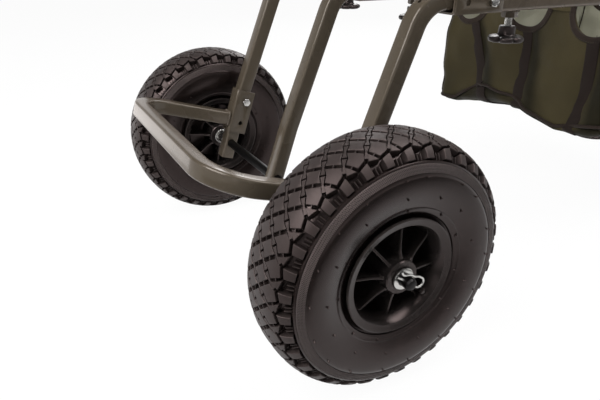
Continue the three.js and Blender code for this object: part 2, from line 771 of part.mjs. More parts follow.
function wheelFramePieces() {
  return [
    piece('upright_near', uprightGeometry(uprightSpacing), 'paintedTube'),
    piece('upright_middle', uprightGeometry(0), 'paintedTube'),
    piece('upright_far', uprightGeometry(-uprightSpacing), 'paintedTube'),
    piece('front_hoop', frontHoopGeometry(), 'paintedTube'),
    piece('hoop_bracket_near', hoopBracketGeometry(uprightSpacing), 'paintedTube'),
    piece('hoop_bracket_far', hoopBracketGeometry(-uprightSpacing), 'paintedTube'),
    piece('hoop_bolt_near', hoopBoltGeometry(1), 'brightZinc'),
    piece('hoop_bolt_far', hoopBoltGeometry(-1), 'brightZinc'),
    ...axlePieces(),
  ];
}

// Clamp: a nut welded to the tube's face, and a screw with a moulded knob that turns in it.
// Built hanging down from the origin, which is on the tube's face.
function clampNut(clamp) {
  return aim(place(bar(clampNutRadius, clampNutHeight + weldDepth, 6), move(0, 0, -clampNutHeight)),
    clamp);
}

function clampScrew(clamp) {
  const low = -clampNutHeight - clamp.bareThread - knobHubHeight / 2;
  return place(bar(screwRadius, clamp.reach - low, 8), move(0, 0, low));
}

function clampKnob(clamp) {
  const lobe = (2 * Math.PI) / knobLobes;
  const rim = knobRadius - knobCrown;
  const corners = [[-knobLobeShare / 2, rim], [knobLobeShare / 2, rim], [1 / 2, rim - knobNotch]];
  const outline = Array.from({ length: knobLobes }, (_, i) => corners.map(([share, radius]) => {
    const angle = (i + share) * lobe;
    return new THREE.Vector2(radius * Math.cos(angle), radius * Math.sin(angle));
  })).flat();
  const disc = new THREE.ExtrudeGeometry(new THREE.Shape(outline), {
    depth: knobThickness - 2 * knobCrown,
    bevelThickness: knobCrown,
    bevelSize: knobCrown,
    bevelSegments: 1,
  });
  const hubTop = -clampNutHeight - clamp.bareThread;
  const top = hubTop - knobHubHeight;
  const hub = place(bar(knobHubRadius, knobHubHeight + knobCrown, 8), move(0, 0, top - knobCrown));
  const body = join([place(disc, move(0, 0, top - knobThickness + knobCrown)), hub]);
  return cut(body, [place(bar(screwRadius + seat, knobHubHeight / 2 + seat + overrun, 8),
    move(0, 0, hubTop - knobHubHeight / 2 - seat))]);
}

// Each clamp: its name, where its nut sits, the way its knob points and how far its screw reaches
function clamps() {
  const down = alongZ.clone().negate();
  const underRail = (x, y) => new THREE.Vector3(x, y, railUnderside);
  const tubeUnderside = clampedTubeCentre - tubeSize / 2;
  const railReach = tubeUnderside - railUnderside - seat;
  const socketReach = railSize / 2 - tubeSize / 2 - seat;
  const socketFace = uprightSpacing + railSize / 2;
  const legHeight = railUnderside - legClampDrop;
  const hanging = (name, x, y, bareThread) => ({
    name, place: underRail(x, y), way: down, reach: railReach, bareThread,
  });
  const beside = (name, side) => ({
    name,
    place: new THREE.Vector3(side * socketFace, legPlace, legHeight),
    way: alongX.clone().multiplyScalar(side),
    reach: socketReach,
    bareThread: bareThreadRear,
  });
  return [
    hanging('front_near', uprightSpacing, wheelFrameClamp, bareThreadNear),
    hanging('front_middle', 0, wheelFrameClamp, bareThreadMiddle),
    hanging('front_far', -uprightSpacing, wheelFrameClamp, bareThreadFar),
    hanging('handle_near', uprightSpacing, handleClamp, bareThreadRear),
    hanging('handle_far', -uprightSpacing, handleClamp, bareThreadRear),
    beside('leg_near', 1),
    beside('leg_far', -1),
  ];
}

// Turns a clamp piece from hanging down to pointing its own way
function aim(geometry, clamp) {
  const spin = new THREE.Quaternion().setFromUnitVectors(alongZ.clone().negate(), clamp.way);
  return place(geometry, new THREE.Matrix4().makeRotationFromQuaternion(spin),
    move(clamp.place.x, clamp.place.y, clamp.place.z));
}

function clampPieces() {
  return clamps().flatMap((clamp) => [
    piece(`clamp_knob_${clamp.name}`, aim(clampKnob(clamp), clamp), 'blackPlastic'),
    piece(`clamp_screw_${clamp.name}`, aim(clampScrew(clamp), clamp), 'brightZinc'),
  ]);
}

// The hole that a clamp's screw needs through its nut and tube wall
function clampTool(clamp) {
  const length = clampNutHeight + overrun + railSize / 2;
  return aim(place(bar(screwRadius + screwClearance, length, 8), move(0, 0, -clampNutHeight - overrun)),
    clamp);
}

// A rail or socket with its clamps' nuts welded on and their screw holes through both
function withClamps(tube, own) {
  return cut(join([tube, ...own.map(clampNut)]), own.map(clampTool));
}

// Bed
function railGeometry(x) {
  const tube = squareTube(railSize, railWall, railCorner,
    new THREE.Vector3(x, railFront, railCentre), new THREE.Vector3(x, railEnd, railCentre));
  const own = clamps().filter((clamp) => clamp.way.z < 0 && clamp.place.x === x);
  const screws = Math.abs(x) > 0 ? railScrewPlaces(x).map(bracketScrewTool) : [];
  return cut(withClamps(tube, own), screws);
}

// The bracket on a side rail, with the two short screws that hold it
function railBracketGeometry(x) {
  const bracket = place(uBracket(railSize + 2 * seat), turn(alongX, -Math.PI / 2),
    move(x, railFront, railTop + seat + plateThickness));
  const face = railSize / 2 + seat + plateThickness;
  const screws = railScrewPlaces(x).map(({ side, y, z }) => place(hexBolt(face - railBore / 2),
    move(0, 0, face - weldDepth), lay(alongX.clone().multiplyScalar(side)), move(x, y, z)));
  return join([bracket, ...screws]);
}

function railScrewPlaces(x) {
  const y = railFront + bracketHoleInset + bracketHolePitch;
  const z = railTop + seat + plateThickness - bracketHoleBack;
  return [-1, 1].map((side) => ({ x, side, y, z }));
}

function bracketScrewTool({ x, side, y, z }) {
  return place(bar(boltRadius + seat, railSize / 2 + overrun, 6),
    lay(alongX.clone().multiplyScalar(side)), move(x, y, z));
}

function guardHoopGeometry() {
  const foot = railTop + 2 * seat + plateThickness;
  return place(hoopGeometry(hoopReach - hoopStart()), turn(alongX, Math.PI / 2),
    move(0, railFront + bracketLength / 2, foot));
}

// The deck frame is two U-bends welded end to end, with a vent hole under its rear tube
function deckFrameGeometry() {
  const rear = railEnd - deckRearInset;
  const seam = (deckFront + rear) / 2;
  const half = (from, to) => {
    const corners = [
      [-deckHalfWidth, to], [-deckHalfWidth, from], [deckHalfWidth, from], [deckHalfWidth, to],
    ].map(([x, y]) => new THREE.Vector3(x, y, deckCentre));
    const stations = bentStations(corners, [deckBendRadius, deckBendRadius], [bendSteps, bendSteps]);
    return sweep(squareTubeSection(tubeSize, tubeWall, tubeCorner), stations);
  };
  const vent = place(bar(drainHoleRadius, tubeSize / 2 + overrun, 6),
    move(0, rear, deckCentre - tubeSize / 2 - overrun));
  return cut(join([half(deckFront, seam + weldDepth), half(rear, seam)]), [vent]);
}

function deckPieces() {
  const barEnd = deckHalfWidth - tubeSize / 2 - seat;
  const bars = crossBarPlaces.map((y, i) => piece(`deck_cross_bar_${i + 1}`,
    squareTube(tubeSize, tubeWall, tubeCorner,
      new THREE.Vector3(-barEnd, y, deckCentre), new THREE.Vector3(barEnd, y, deckCentre)),
    'paintedTube'));
  return [piece('deck_frame', deckFrameGeometry(), 'paintedTube'), ...bars];
}

function bedPieces() {
  const plugEnd = new THREE.Vector3(0, railEnd + plateThickness + seat, railCentre);
  return [
    piece('side_rail_near', railGeometry(uprightSpacing), 'paintedTube'),
    piece('centre_rail', railGeometry(0), 'paintedTube'),
    piece('side_rail_far', railGeometry(-uprightSpacing), 'paintedTube'),
    piece('centre_rail_plug', place(tubePlugGeometry(railSize, railWall, railCorner),
      turn(alongX, Math.PI / 2), move(plugEnd.x, plugEnd.y, plugEnd.z)), 'blackPlastic'),
    piece('rail_bracket_near', railBracketGeometry(uprightSpacing), 'paintedTube'),
    piece('rail_bracket_far', railBracketGeometry(-uprightSpacing), 'paintedTube'),
    piece('guard_hoop', guardHoopGeometry(), 'paintedTube'),
    ...deckPieces(),
    piece('leg_socket_near', socketGeometry(1), 'paintedTube'),
    piece('leg_socket_far', socketGeometry(-1), 'paintedTube'),
    piece('undercarriage_bag', bagGeometry(), 'oliveNylon'),
  ];
}

// Rear legs
function socketGeometry(side) {
  const top = railUnderside - seat;
  const x = side * uprightSpacing;
  const tube = squareTube(railSize, railWall, railCorner,
    new THREE.Vector3(x, legPlace, top - socketLength), new THREE.Vector3(x, legPlace, top));
  return withClamps(tube, clamps().filter((clamp) => clamp.way.x * side > 0));
}

function legPieces(name, side) {
  const x = side * uprightSpacing;
  const bottom = footThickness + seat;
  const top = railUnderside - seat - legTopGap;
  const footOutline = [
    [0, 0], [footRadius - footThickness / 2, 0],
    [footRadius, footThickness / 2], [footRadius, footThickness],
    [footSocketRadius + footThickness, footThickness], [footSocketRadius, 2 * footThickness],
    [footSocketRadius, footSocketHeight], [0, footSocketHeight],
  ].map(([r, z]) => new THREE.Vector2(r, z));
  const foot = new THREE.LatheGeometry(footOutline, hubSegments)
    .applyMatrix4(new THREE.Matrix4().makeRotationX(Math.PI / 2));
  const pocket = new THREE.BoxGeometry(tubeSize + 2 * seat, tubeSize + 2 * seat, footSocketHeight)
    .translate(0, 0, footThickness + footSocketHeight / 2);
  return [
    piece(`leg_${name}`, squareTube(tubeSize, tubeWall, tubeCorner,
      new THREE.Vector3(x, legPlace, bottom), new THREE.Vector3(x, legPlace, top)), 'paintedTube'),
    piece(`foot_${name}`, place(cut(foot, [pocket]), move(x, legPlace, 0)), 'blackPlastic'),
  ];
}

// Push handles
function handleStations(side) {
  const angle = THREE.MathUtils.degToRad(handleAngleDegrees);
  const x = side * uprightSpacing;
  const bend = new THREE.Vector3(x, railEnd + handleRun, clampedTubeCentre);
  const end = bend.clone().add(new THREE.Vector3(0, Math.cos(angle), Math.sin(angle))
    .multiplyScalar(handleRise));
  return bentStations([new THREE.Vector3(x, railEnd - handleInsert, clampedTubeCentre), bend, end],
    [handleBendRadius], [bendSteps / 2]);
}

function gripGeometry() {
  const step = gripLength / (2 * gripRibs);
  const ribs = Array.from({ length: gripRibs }, (_, i) => {
    const groove = gripRadius - (i === 0 ? 2 : 1) * gripRib;
    return [[groove, 2 * i * step], [gripRadius, (2 * i + 1) * step]];
  });
  const outline = [[0, 0], ...ribs.flat(), [gripRadius, gripLength], [0, gripLength]];
  const body = new THREE.LatheGeometry(outline.map(([r, z]) => new THREE.Vector2(r, z)), ringSegments)
    .applyMatrix4(new THREE.Matrix4().makeRotationX(Math.PI / 2));
  const pocket = new THREE.BoxGeometry(tubeSize + 2 * seat, tubeSize + 2 * seat, gripLength)
    .translate(0, 0, gripLength / 2 - tubeSize / 4);
  return cut(body, [pocket]);
}

function handlePieces(name, side) {
  const stations = handleStations(side);
  const last = stations[stations.length - 1];
  const tube = sweep(squareTubeSection(tubeSize, tubeWall, tubeCorner), stations);
  const angle = THREE.MathUtils.degToRad(handleAngleDegrees);
  const start = last.point.clone().addScaledVector(last.direction, tubeSize / 4 + seat - gripLength);
  const grip = place(gripGeometry(), turn(alongX, angle - Math.PI / 2), move(start.x, start.y, start.z));
  return [
    piece(`push_handle_${name}`, tube, 'paintedTube'),
    piece(`handle_grip_${name}`, grip, 'gripRubber'),
  ];
}

// Undercarriage bag: a soft open-topped box that narrows and sags towards its bottom
function bagRing(inset, z, corner) {
  const points = [];
  const halfX = bagHalfWidth - inset - corner;
  const halfY = bagLength / 2 - inset - corner;
  for (let quarter = 0; quarter < 4; quarter += 1) {
    const [signX, signY] = [[1, 1], [-1, 1], [-1, -1], [1, -1]][quarter];
    for (let step = 0; step <= cornerSteps; step += 1) {
      const angle = (quarter + step / cornerSteps) * (Math.PI / 2);
      points.push(new THREE.Vector3(
        signX * halfX + corner * Math.cos(angle),
        bagFront + bagLength / 2 + signY * halfY + corner * Math.sin(angle),
        z,
      ));
    }
  }
  return points;
}

// A closed skin over a stack of rings that have the same number of points
function loft(rings) {
  const faces = [];
  const count = rings[0].length;
  const centreOf = (ring) => ring.reduce((sum, p) => sum.add(p), new THREE.Vector3()).divideScalar(count);
  for (let level = 0; level < rings.length - 1; level += 1) {
    for (let i = 0; i < count; i += 1) {
      const j = (i + 1) % count;
      const [a, b] = [rings[level], rings[level + 1]];
      faces.push(a[i], a[j], b[j], a[i], b[j], b[i]);
    }
  }
  const bottom = centreOf(rings[0]);
  const top = centreOf(rings[rings.length - 1]);
  for (let i = 0; i < count; i += 1) {
    const j = (i + 1) % count;
    const last = rings[rings.length - 1];
    faces.push(bottom, rings[0][j], rings[0][i], top, last[i], last[j]);
  }
  return new THREE.BufferGeometry().setFromPoints(faces);
}

function bagBody(shrink, top) {
  const rim = railUnderside - seat;
  const floor = rim - bagDepth + shrink;
  const level = (share) => floor + bagDepth * share;
  const inset = (share) => shrink + bagBottomInset * share;
  const rings = bagProfileShares.map(([height, drawn]) => (
    bagRing(inset(drawn), level(height), bagCorner)));
  const sunk = bagRing(inset(bagMiddleShare), floor - bagSag, bagCorner);
  return loft([sunk, ...rings, bagRing(shrink, rim + top, bagCorner)]);
}

function windowTool(length) {
  const half = windowWidth / 2;
  const outline = new THREE.Shape();
  outline.moveTo(-half, overrun);
  outline.absarc(0, half - windowDrop, half, Math.PI, 2 * Math.PI);
  outline.lineTo(half, overrun);
  outline.closePath();
  return new THREE.ExtrudeGeometry(outline, { depth: length, bevelEnabled: false, curveSegments: 4 })
    .applyMatrix4(new THREE.Matrix4().makeRotationX(Math.PI / 2))
    .applyMatrix4(move(0, length / 2, 0));
}

function bagGeometry() {
  const rim = railUnderside - seat;
  const middle = bagFront + bagLength / 2;
  const windows = [-1, 0, 1].map((i) => place(windowTool(bagLength + 2 * overrun),
    move(i * windowPitch, middle, rim)));
  return cut(bagBody(0, 0), [bagBody(bagWall, overrun), ...windows]);
}

const trolley = new THREE.Group();
trolley.add(
  ...bedPieces(),
  ...wheelFramePieces(),
  ...wheelPieces('near', 1),
  ...wheelPieces('far', -1),
  ...clampPieces(),
  ...legPieces('near', 1),
  ...legPieces('far', -1),
  ...handlePieces('near', 1),
  ...handlePieces('far', -1),
);

// The trolley stands centred over the origin, its lowest point at the floor.
const extent = new THREE.Box3().setFromObject(trolley);
trolley.position.set(0, -(extent.min.y + extent.max.y) / 2, -extent.min.z);

export default trolley;
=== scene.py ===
import math
import bpy
import bmesh
import numpy as np
from mathutils import Matrix, Vector, noise


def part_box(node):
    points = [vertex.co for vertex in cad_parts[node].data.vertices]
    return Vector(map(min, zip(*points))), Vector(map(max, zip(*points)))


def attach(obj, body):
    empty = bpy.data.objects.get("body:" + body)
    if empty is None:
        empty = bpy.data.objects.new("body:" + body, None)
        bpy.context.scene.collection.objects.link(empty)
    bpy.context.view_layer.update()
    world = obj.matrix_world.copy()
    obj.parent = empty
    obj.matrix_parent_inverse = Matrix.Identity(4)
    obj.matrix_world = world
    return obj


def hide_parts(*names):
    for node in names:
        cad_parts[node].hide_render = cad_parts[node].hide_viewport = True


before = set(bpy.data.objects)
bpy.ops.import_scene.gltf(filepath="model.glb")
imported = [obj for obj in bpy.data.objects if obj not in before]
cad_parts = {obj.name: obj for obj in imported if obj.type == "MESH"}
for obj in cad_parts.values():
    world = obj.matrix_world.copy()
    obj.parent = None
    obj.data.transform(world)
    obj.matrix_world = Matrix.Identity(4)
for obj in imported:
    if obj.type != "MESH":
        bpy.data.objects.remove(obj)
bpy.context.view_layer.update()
print("frame loaded")


def middleOf(node):
    low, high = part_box(node)
    return [(a + b) / 2 for a, b in zip(low, high)]


# where things are, read off the solids
_, axleY, axleZ = middleOf("axle")
wheelX = middleOf("rim_near")[0]
alongX, alongY, alongZ = Vector((1, 0, 0)), Vector((0, 1, 0)), Vector((0, 0, 1))
sides = {"near": 1, "far": -1}


def newObject(name, data):
    obj = bpy.data.objects.new(name, data)
    bpy.context.collection.objects.link(obj)
    return obj


camera = {
    "focalPixels": 536.228, "widthPixels": 600, "sensor": 36.0, "nearest": 0.02,
    "yaw": 1.0708, "pitch": 0.4438, "roll": 0.0058, "fromAxle": (0.58294, -0.27985, 0.27406),
}


def makeCamera():
    yaw, pitch, roll = camera["yaw"], camera["pitch"], camera["roll"]
    level = Vector((math.cos(yaw), math.sin(yaw), 0))
    forward = Vector((-math.sin(yaw) * math.cos(pitch), math.cos(yaw) * math.cos(pitch), -math.sin(pitch)))
    up = level.cross(forward)
    right = level * math.cos(roll) + up * math.sin(roll)
    up = right.cross(forward)
    data = bpy.data.cameras.new("photoCamera")
    data.sensor_width = camera["sensor"]
    data.lens = camera["focalPixels"] / camera["widthPixels"] * camera["sensor"]
    data.clip_start = camera["nearest"]
    obj = newObject("photoCamera", data)
    spot = Vector(camera["fromAxle"]) + Vector((0, axleY, axleZ))
    obj.matrix_world = Matrix.Translation(spot) @ Matrix((right, up, -forward)).transposed().to_4x4()
    bpy.context.scene.camera = obj


makeCamera()
print("camera made")


def setInputs(tree, node, values):
    # a value that is another node's output is linked, any other is typed in
    for label, value in values.items():
        if isinstance(value, bpy.types.NodeSocket):
            tree.links.new(value, node.inputs[label])
        else:
            node.inputs[label].default_value = value
    return node


def addNode(tree, kind, values=(), **settings):
    node = tree.nodes.new(kind)
    for label, value in settings.items():
        setattr(node, label, value)
    return setInputs(tree, node, dict(values))


def mathNode(tree, operation, *values, clamp=False):
    node = addNode(tree, "ShaderNodeMath", enumerate(values), operation=operation, use_clamp=clamp)
    return node.outputs[0]


def noiseNode(tree, vector, scale, detail=3.0, rough=0.55):
    values = {"Vector": vector, "Scale": scale, "Detail": detail, "Roughness": rough}
    return addNode(tree, "ShaderNodeTexNoise", values).outputs["Fac"]


def rampNode(tree, value, low, high, shape="SMOOTHSTEP"):
    values = {"Value": value, "From Min": low, "From Max": high}
    return addNode(tree, "ShaderNodeMapRange", values, interpolation_type=shape).outputs["Result"]


def mixColours(tree, mask, *colours):
    first, second = [(*c[:3], 1) if isinstance(c, tuple) else c for c in colours]
    return addNode(tree, "ShaderNodeMix", {0: mask, 6: first, 7: second}, data_type="RGBA").outputs[2]


def newGroup(name, sizes, results):
    # a shader group that works on a vector, with sizes as its other inputs
    tree = bpy.data.node_groups.new(name, "ShaderNodeTree")
    tree.interface.new_socket(name="Vector", in_out="INPUT", socket_type="NodeSocketVector")
    for label, value in sizes.items():
        socket = tree.interface.new_socket(name=label, in_out="INPUT", socket_type="NodeSocketFloat")
        socket.default_value = value
    for label in results:
        tree.interface.new_socket(name=label, in_out="OUTPUT", socket_type="NodeSocketFloat")
    return tree, tree.nodes.new("NodeGroupInput").outputs, tree.nodes.new("NodeGroupOutput")


def makeMottleGroup():
    # cloudy lightness changes, fine grain and a dust mask
    tree, given, result = newGroup(
        "mottle", {"Cloud Scale": 14.0, "Grain Scale": 900.0}, ["Cloud", "Grain", "Dust"])
    wide = mathNode(tree, "MULTIPLY", given["Cloud Scale"], 3.3)
    setInputs(tree, result, {
        "Cloud": noiseNode(tree, given["Vector"], given["Cloud Scale"], 4.0),
        "Grain": noiseNode(tree, given["Vector"], given["Grain Scale"], 2.0),
        "Dust": rampNode(tree, noiseNode(tree, given["Vector"], wide, 6.0, 0.7), 0.52, 0.78)})
    return tree


def makeWearGroup():
    # where the surface bulges, as on edges and corners, broken up by noise
    tree, given, result = newGroup("edgeWear", {"Scale": 160.0, "Start": 0.53, "End": 0.62}, ["Mask"])
    shift = mathNode(tree, "MULTIPLY_ADD", noiseNode(tree, given["Vector"], given["Scale"]), 0.09, -0.045)
    bulge = mathNode(tree, "ADD", addNode(tree, "ShaderNodeNewGeometry").outputs["Pointiness"], shift)
    setInputs(tree, result, {"Mask": rampNode(tree, bulge, given["Start"], given["End"], "LINEAR")})
    return tree


def makeWallHatchGroup():
    # fine crossed lines on the tyre's side wall, in a band round the wheel's centre
    tree, given, result = newGroup(
        "wallHatch", {"Inner Radius": 0.1032, "Outer Radius": 0.1108, "Lines": 420.0, "Rise": 3600.0}, ["Height"])
    split = addNode(tree, "ShaderNodeSeparateXYZ", {0: given["Vector"]}).outputs
    squares = [mathNode(tree, "POWER", split[axis], 2.0) for axis in "YZ"]
    radius = mathNode(tree, "SQRT", mathNode(tree, "ADD", *squares))
    turns = mathNode(tree, "MULTIPLY", mathNode(tree, "ARCTAN2", split["Z"], split["Y"]), given["Lines"])
    rise = mathNode(tree, "MULTIPLY", radius, given["Rise"])
    crossed = [mathNode(tree, "SINE", mathNode(tree, way, turns, rise)) for way in ("ADD", "SUBTRACT")]
    inside = mathNode(tree, "MULTIPLY", mathNode(tree, "GREATER_THAN", radius, given["Inner Radius"]),
                      mathNode(tree, "LESS_THAN", radius, given["Outer Radius"]))
    lines = mathNode(tree, "MULTIPLY", mathNode(tree, "MAXIMUM", *crossed), inside)
    setInputs(tree, result, {"Height": lines})
    return tree


groups = {"mottle": makeMottleGroup(), "wear": makeWearGroup(), "hatch": makeWallHatchGroup()}


def placeGroup(tree, group, vector, values=()):
    return addNode(tree, "ShaderNodeGroup", {"Vector": vector, **dict(values)}, node_tree=groups[group]).outputs


def startMaterial(name, look):
    # look: the dictionary of a finish, with its cloud and grain scales
    material = bpy.data.materials.new(name)
    material.use_nodes = True
    tree = material.node_tree
    place = addNode(tree, "ShaderNodeTexCoord").outputs["Object"]
    spots = placeGroup(tree, "mottle", place, zip(("Cloud Scale", "Grain Scale"), look["scales"]))
    return material, tree, tree.nodes["Principled BSDF"], place, spots


def wornMask(tree, place, look):
    worn = placeGroup(tree, "wear", place, zip(("Scale", "Start", "End"), look["wear"]))
    return mathNode(tree, "MULTIPLY", worn["Mask"], look["wearShare"])


def dustMask(tree, spots, look):
    return mathNode(tree, "MULTIPLY", spots["Dust"], look["dustShare"])


def spread(tree, value, low, high):
    return mathNode(tree, "MULTIPLY_ADD", value, high - low, low)


def bumped(tree, *heights):
    # heights: (socket, strength, distance in metres), chained one on the other
    normal = {}
    for height, strength, distance in heights:
        values = {"Strength": strength, "Distance": distance, "Height": height, **normal}
        normal = {"Normal": addNode(tree, "ShaderNodeBump", values).outputs["Normal"]}
    return normal["Normal"]


paint = {
    "colour": (0.047, 0.040, 0.029), "lighter": (0.070, 0.059, 0.044), "chip": (0.13, 0.11, 0.09),
    "dust": (0.25, 0.22, 0.19), "roughness": (0.22, 0.34), "metallic": 0.12, "coat": 0.42,
    "coatRoughness": 0.10, "coatIor": 1.4, "specular": 0.18, "tint": (1.0, 0.90, 0.85),
    "scales": (9.0, 1500.0), "wear": (220.0, 0.56, 0.66), "wearShare": 0.55, "dustShare": 0.10,
    "ripple": (210.0, 2.0), "rippleBump": (0.06, 0.0004), "grainBump": (0.05, 0.0001),
}


def makePaint(name, colour, lighter, roughness):
    material, tree, shader, place, spots = startMaterial(name, paint)
    base = mixColours(tree, spots["Cloud"], colour, lighter)
    edged = mixColours(tree, wornMask(tree, place, paint), base, paint["chip"])
    ripple = noiseNode(tree, place, *paint["ripple"])
    setInputs(tree, shader, {
        "Base Color": mixColours(tree, dustMask(tree, spots, paint), edged, paint["dust"]),
        "Roughness": spread(tree, spots["Cloud"], *roughness), "Metallic": paint["metallic"],
        "Coat Weight": paint["coat"], "Coat Roughness": paint["coatRoughness"], "Coat IOR": paint["coatIor"],
        "Coat Tint": (*paint["tint"], 1), "Specular Tint": (*paint["tint"], 1),
        "Specular IOR Level": paint["specular"],
        "Normal": bumped(tree, (ripple, *paint["rippleBump"]), (spots["Grain"], *paint["grainBump"]))})
    return material


rubber = {
    "scales": (22.0, 1300.0), "wear": (300.0, 0.52, 0.64), "wearShare": 0.5, "dustShare": 0.5,
    "tint": (1.0, 0.78, 0.75), "grainBump": (0.25, 0.0003),
    "hatched": (0.14, 0.115, 0.11), "hatchShare": 0.7, "hatchBump": (0.5, 0.0004),
}


def makeRubber(name, colour, dusty, roughness, specular=0.22, centre=None):
    # a side wall gives its wheel's centre, which the hatched band runs round
    material, tree, shader, place, spots = startMaterial(name, rubber)
    base = mixColours(tree, dustMask(tree, spots, rubber), colour, dusty)
    shown = mixColours(tree, wornMask(tree, place, rubber), base, dusty)
    heights = [(spots["Grain"], *rubber["grainBump"])]
    if centre is not None:
        values = {"Location": [-v for v in centre], "Vector": place}
        hatch = placeGroup(tree, "hatch", addNode(tree, "ShaderNodeMapping", values).outputs["Vector"])["Height"]
        heights.append((hatch, *rubber["hatchBump"]))
        lined = mathNode(tree, "MULTIPLY", hatch, rubber["hatchShare"], clamp=True)
        shown = mixColours(tree, lined, shown, rubber["hatched"])
    setInputs(tree, shader, {
        "Base Color": shown, "Roughness": spread(tree, spots["Cloud"], *roughness),
        "Specular IOR Level": specular, "Specular Tint": (*rubber["tint"], 1),
        "Normal": bumped(tree, *heights)})
    return material


metal = {"scales": (60.0, 2500.0), "dustShare": 0.45, "lineBump": (0.18, 0.0002), "grainBump": (0.08, 0.0001)}


def makeMetal(name, colour, stain, roughness, brush):
    # brush: how fine the drawn lines are along each axis
    material, tree, shader, place, spots = startMaterial(name, metal)
    stretched = addNode(tree, "ShaderNodeMapping", {"Scale": brush, "Vector": place}).outputs["Vector"]
    lines = noiseNode(tree, stretched, 1.0, 4.0)
    setInputs(tree, shader, {
        "Base Color": mixColours(tree, dustMask(tree, spots, metal), colour, stain),
        "Roughness": spread(tree, lines, *roughness), "Metallic": 1.0,
        "Normal": bumped(tree, (lines, *metal["lineBump"]), (spots["Grain"], *metal["grainBump"]))})
    return material


plastic = {
    "scales": (30.0, 2200.0), "wear": (260.0, 0.53, 0.63), "wearShare": 0.6, "dustShare": 0.25,
    "specular": 0.32, "tint": (1.0, 0.78, 0.75), "grainBump": (0.22, 0.0002),
}


def makePlastic(name, colour, scuffed, roughness):
    material, tree, shader, place, spots = startMaterial(name, plastic)
    base = mixColours(tree, dustMask(tree, spots, plastic), colour, scuffed)
    setInputs(tree, shader, {
        "Base Color": mixColours(tree, wornMask(tree, place, plastic), base, scuffed),
        "Roughness": spread(tree, spots["Cloud"], *roughness),
        "Specular IOR Level": plastic["specular"], "Specular Tint": (*plastic["tint"], 1),
        "Normal": bumped(tree, (spots["Grain"], *plastic["grainBump"]))})
    return material


cloth = {
    "scales": (11.0, 700.0), "fadeShare": 0.55, "specular": 0.12, "sheen": 0.05, "sheenRoughness": 0.5,
    "rumple": (38.0, 4.0, 0.6), "rumpleBump": (0.35, 0.004),
}


def makeCloth(name, colour, faded, coat=0.0, roughness=(0.62, 0.85), foldShadeColour=None):
    # the last argument: painted shade, a darker colour down in the folds, which the mesh marks with its crease
    # attribute
    material, tree, shader, place, spots = startMaterial(name, cloth)
    fade = mathNode(tree, "MULTIPLY", spots["Cloud"], cloth["fadeShare"])
    shown = mixColours(tree, fade, colour, faded)
    if foldShadeColour is not None:
        # painted shade: the crease attribute says how dark the folds are painted
        crease = addNode(tree, "ShaderNodeAttribute", attribute_name="crease").outputs["Fac"]
        shown = mixColours(tree, crease, shown, foldShadeColour)
    setInputs(tree, shader, {
        "Base Color": shown, "Roughness": spread(tree, spots["Cloud"], *roughness), "Coat Weight": coat,
        "Specular IOR Level": cloth["specular"], "Sheen Weight": cloth["sheen"],
        "Sheen Roughness": cloth["sheenRoughness"],
        "Normal": bumped(tree, (noiseNode(tree, place, *cloth["rumple"]), *cloth["rumpleBump"]))})
    return material


materials = {
    "paint": makePaint("olivePaint", paint["colour"], paint["lighter"], paint["roughness"]),
    "weld": makePaint("weldBead", (0.040, 0.033, 0.024), (0.060, 0.050, 0.038), (0.30, 0.50)),
    "zinc": makeMetal("brightZinc", (0.56, 0.55, 0.53), (0.34, 0.33, 0.31), (0.16, 0.34), (900, 120, 900)),
    "darkSteel": makeMetal("darkSteel", (0.022, 0.021, 0.021), (0.06, 0.05, 0.04), (0.28, 0.5), (60, 900, 900)),
    "plastic": makePlastic("mouldedPlastic", (0.010, 0.0085, 0.008), (0.045, 0.038, 0.036), (0.15, 0.26)),
    "knob": makePlastic("knobPlastic", (0.010, 0.0088, 0.0085), (0.07, 0.062, 0.060), (0.24, 0.38)),
    "grip": makeRubber("gripRubber", (0.016, 0.016, 0.017), (0.045, 0.042, 0.04), (0.62, 0.85)),
    "tread": makeRubber("treadRubber", (0.015, 0.0115, 0.0107), (0.050, 0.040, 0.037), (0.40, 0.58), 0.4),
    # the olive cloth's darkest colour is painted shade in its folds
    "olive": makeCloth("oliveNylon", (0.031, 0.0250, 0.0108), (0.074, 0.0585, 0.0265),
                       foldShadeColour=(0.0105, 0.0086, 0.0034)),
    "binding": makeCloth("brownBinding", (0.015, 0.0098, 0.0074), (0.030, 0.0205, 0.0160)),
    "webbing": makeCloth("brownWebbing", (0.010, 0.0062, 0.0048), (0.022, 0.0145, 0.0115)),
    "coated": makeCloth("coatedInside", (0.26, 0.255, 0.20), (0.37, 0.36, 0.29), 0.15, (0.4, 0.6)),
    "stitch": makeCloth("stitchThread", (0.045, 0.038, 0.026), (0.075, 0.064, 0.045)),
}
for side, sign in sides.items():
    materials["tyre" + side] = makeRubber(
        "tyreRubber" + side.capitalize(), (0.0065, 0.0046, 0.0042), (0.024, 0.0165, 0.0150), (0.20, 0.30), 0.38,
        (sign * wheelX, axleY, axleZ))
print("materials made")


def smoothBy(mesh, degrees):
    mesh.polygons.foreach_set("use_smooth", [True] * len(mesh.polygons))
    mesh.set_sharp_from_angle(angle=math.radians(degrees))
    mesh.update()


def newPiece(name, verts, faces, material, degrees=32):
    mesh = bpy.data.meshes.new(name)
    mesh.from_pydata([tuple(v) for v in verts], [], faces)
    work = bmesh.new()
    work.from_mesh(mesh)
    bmesh.ops.remove_doubles(work, verts=work.verts, dist=1e-6)
    bmesh.ops.recalc_face_normals(work, faces=work.faces)
    work.to_mesh(mesh)
    work.free()
    mesh.materials.append(materials[material])
    smoothBy(mesh, degrees)
    return newObject(name, mesh)


def bake(obj):
    # turns what the modifiers make into the piece's own mesh
    bpy.context.view_layer.update()
    graph = bpy.context.evaluated_depsgraph_get()
    mesh = bpy.data.meshes.new_from_object(obj.evaluated_get(graph), depsgraph=graph)
    obj.modifiers.clear()
    obj.data = mesh
    return obj


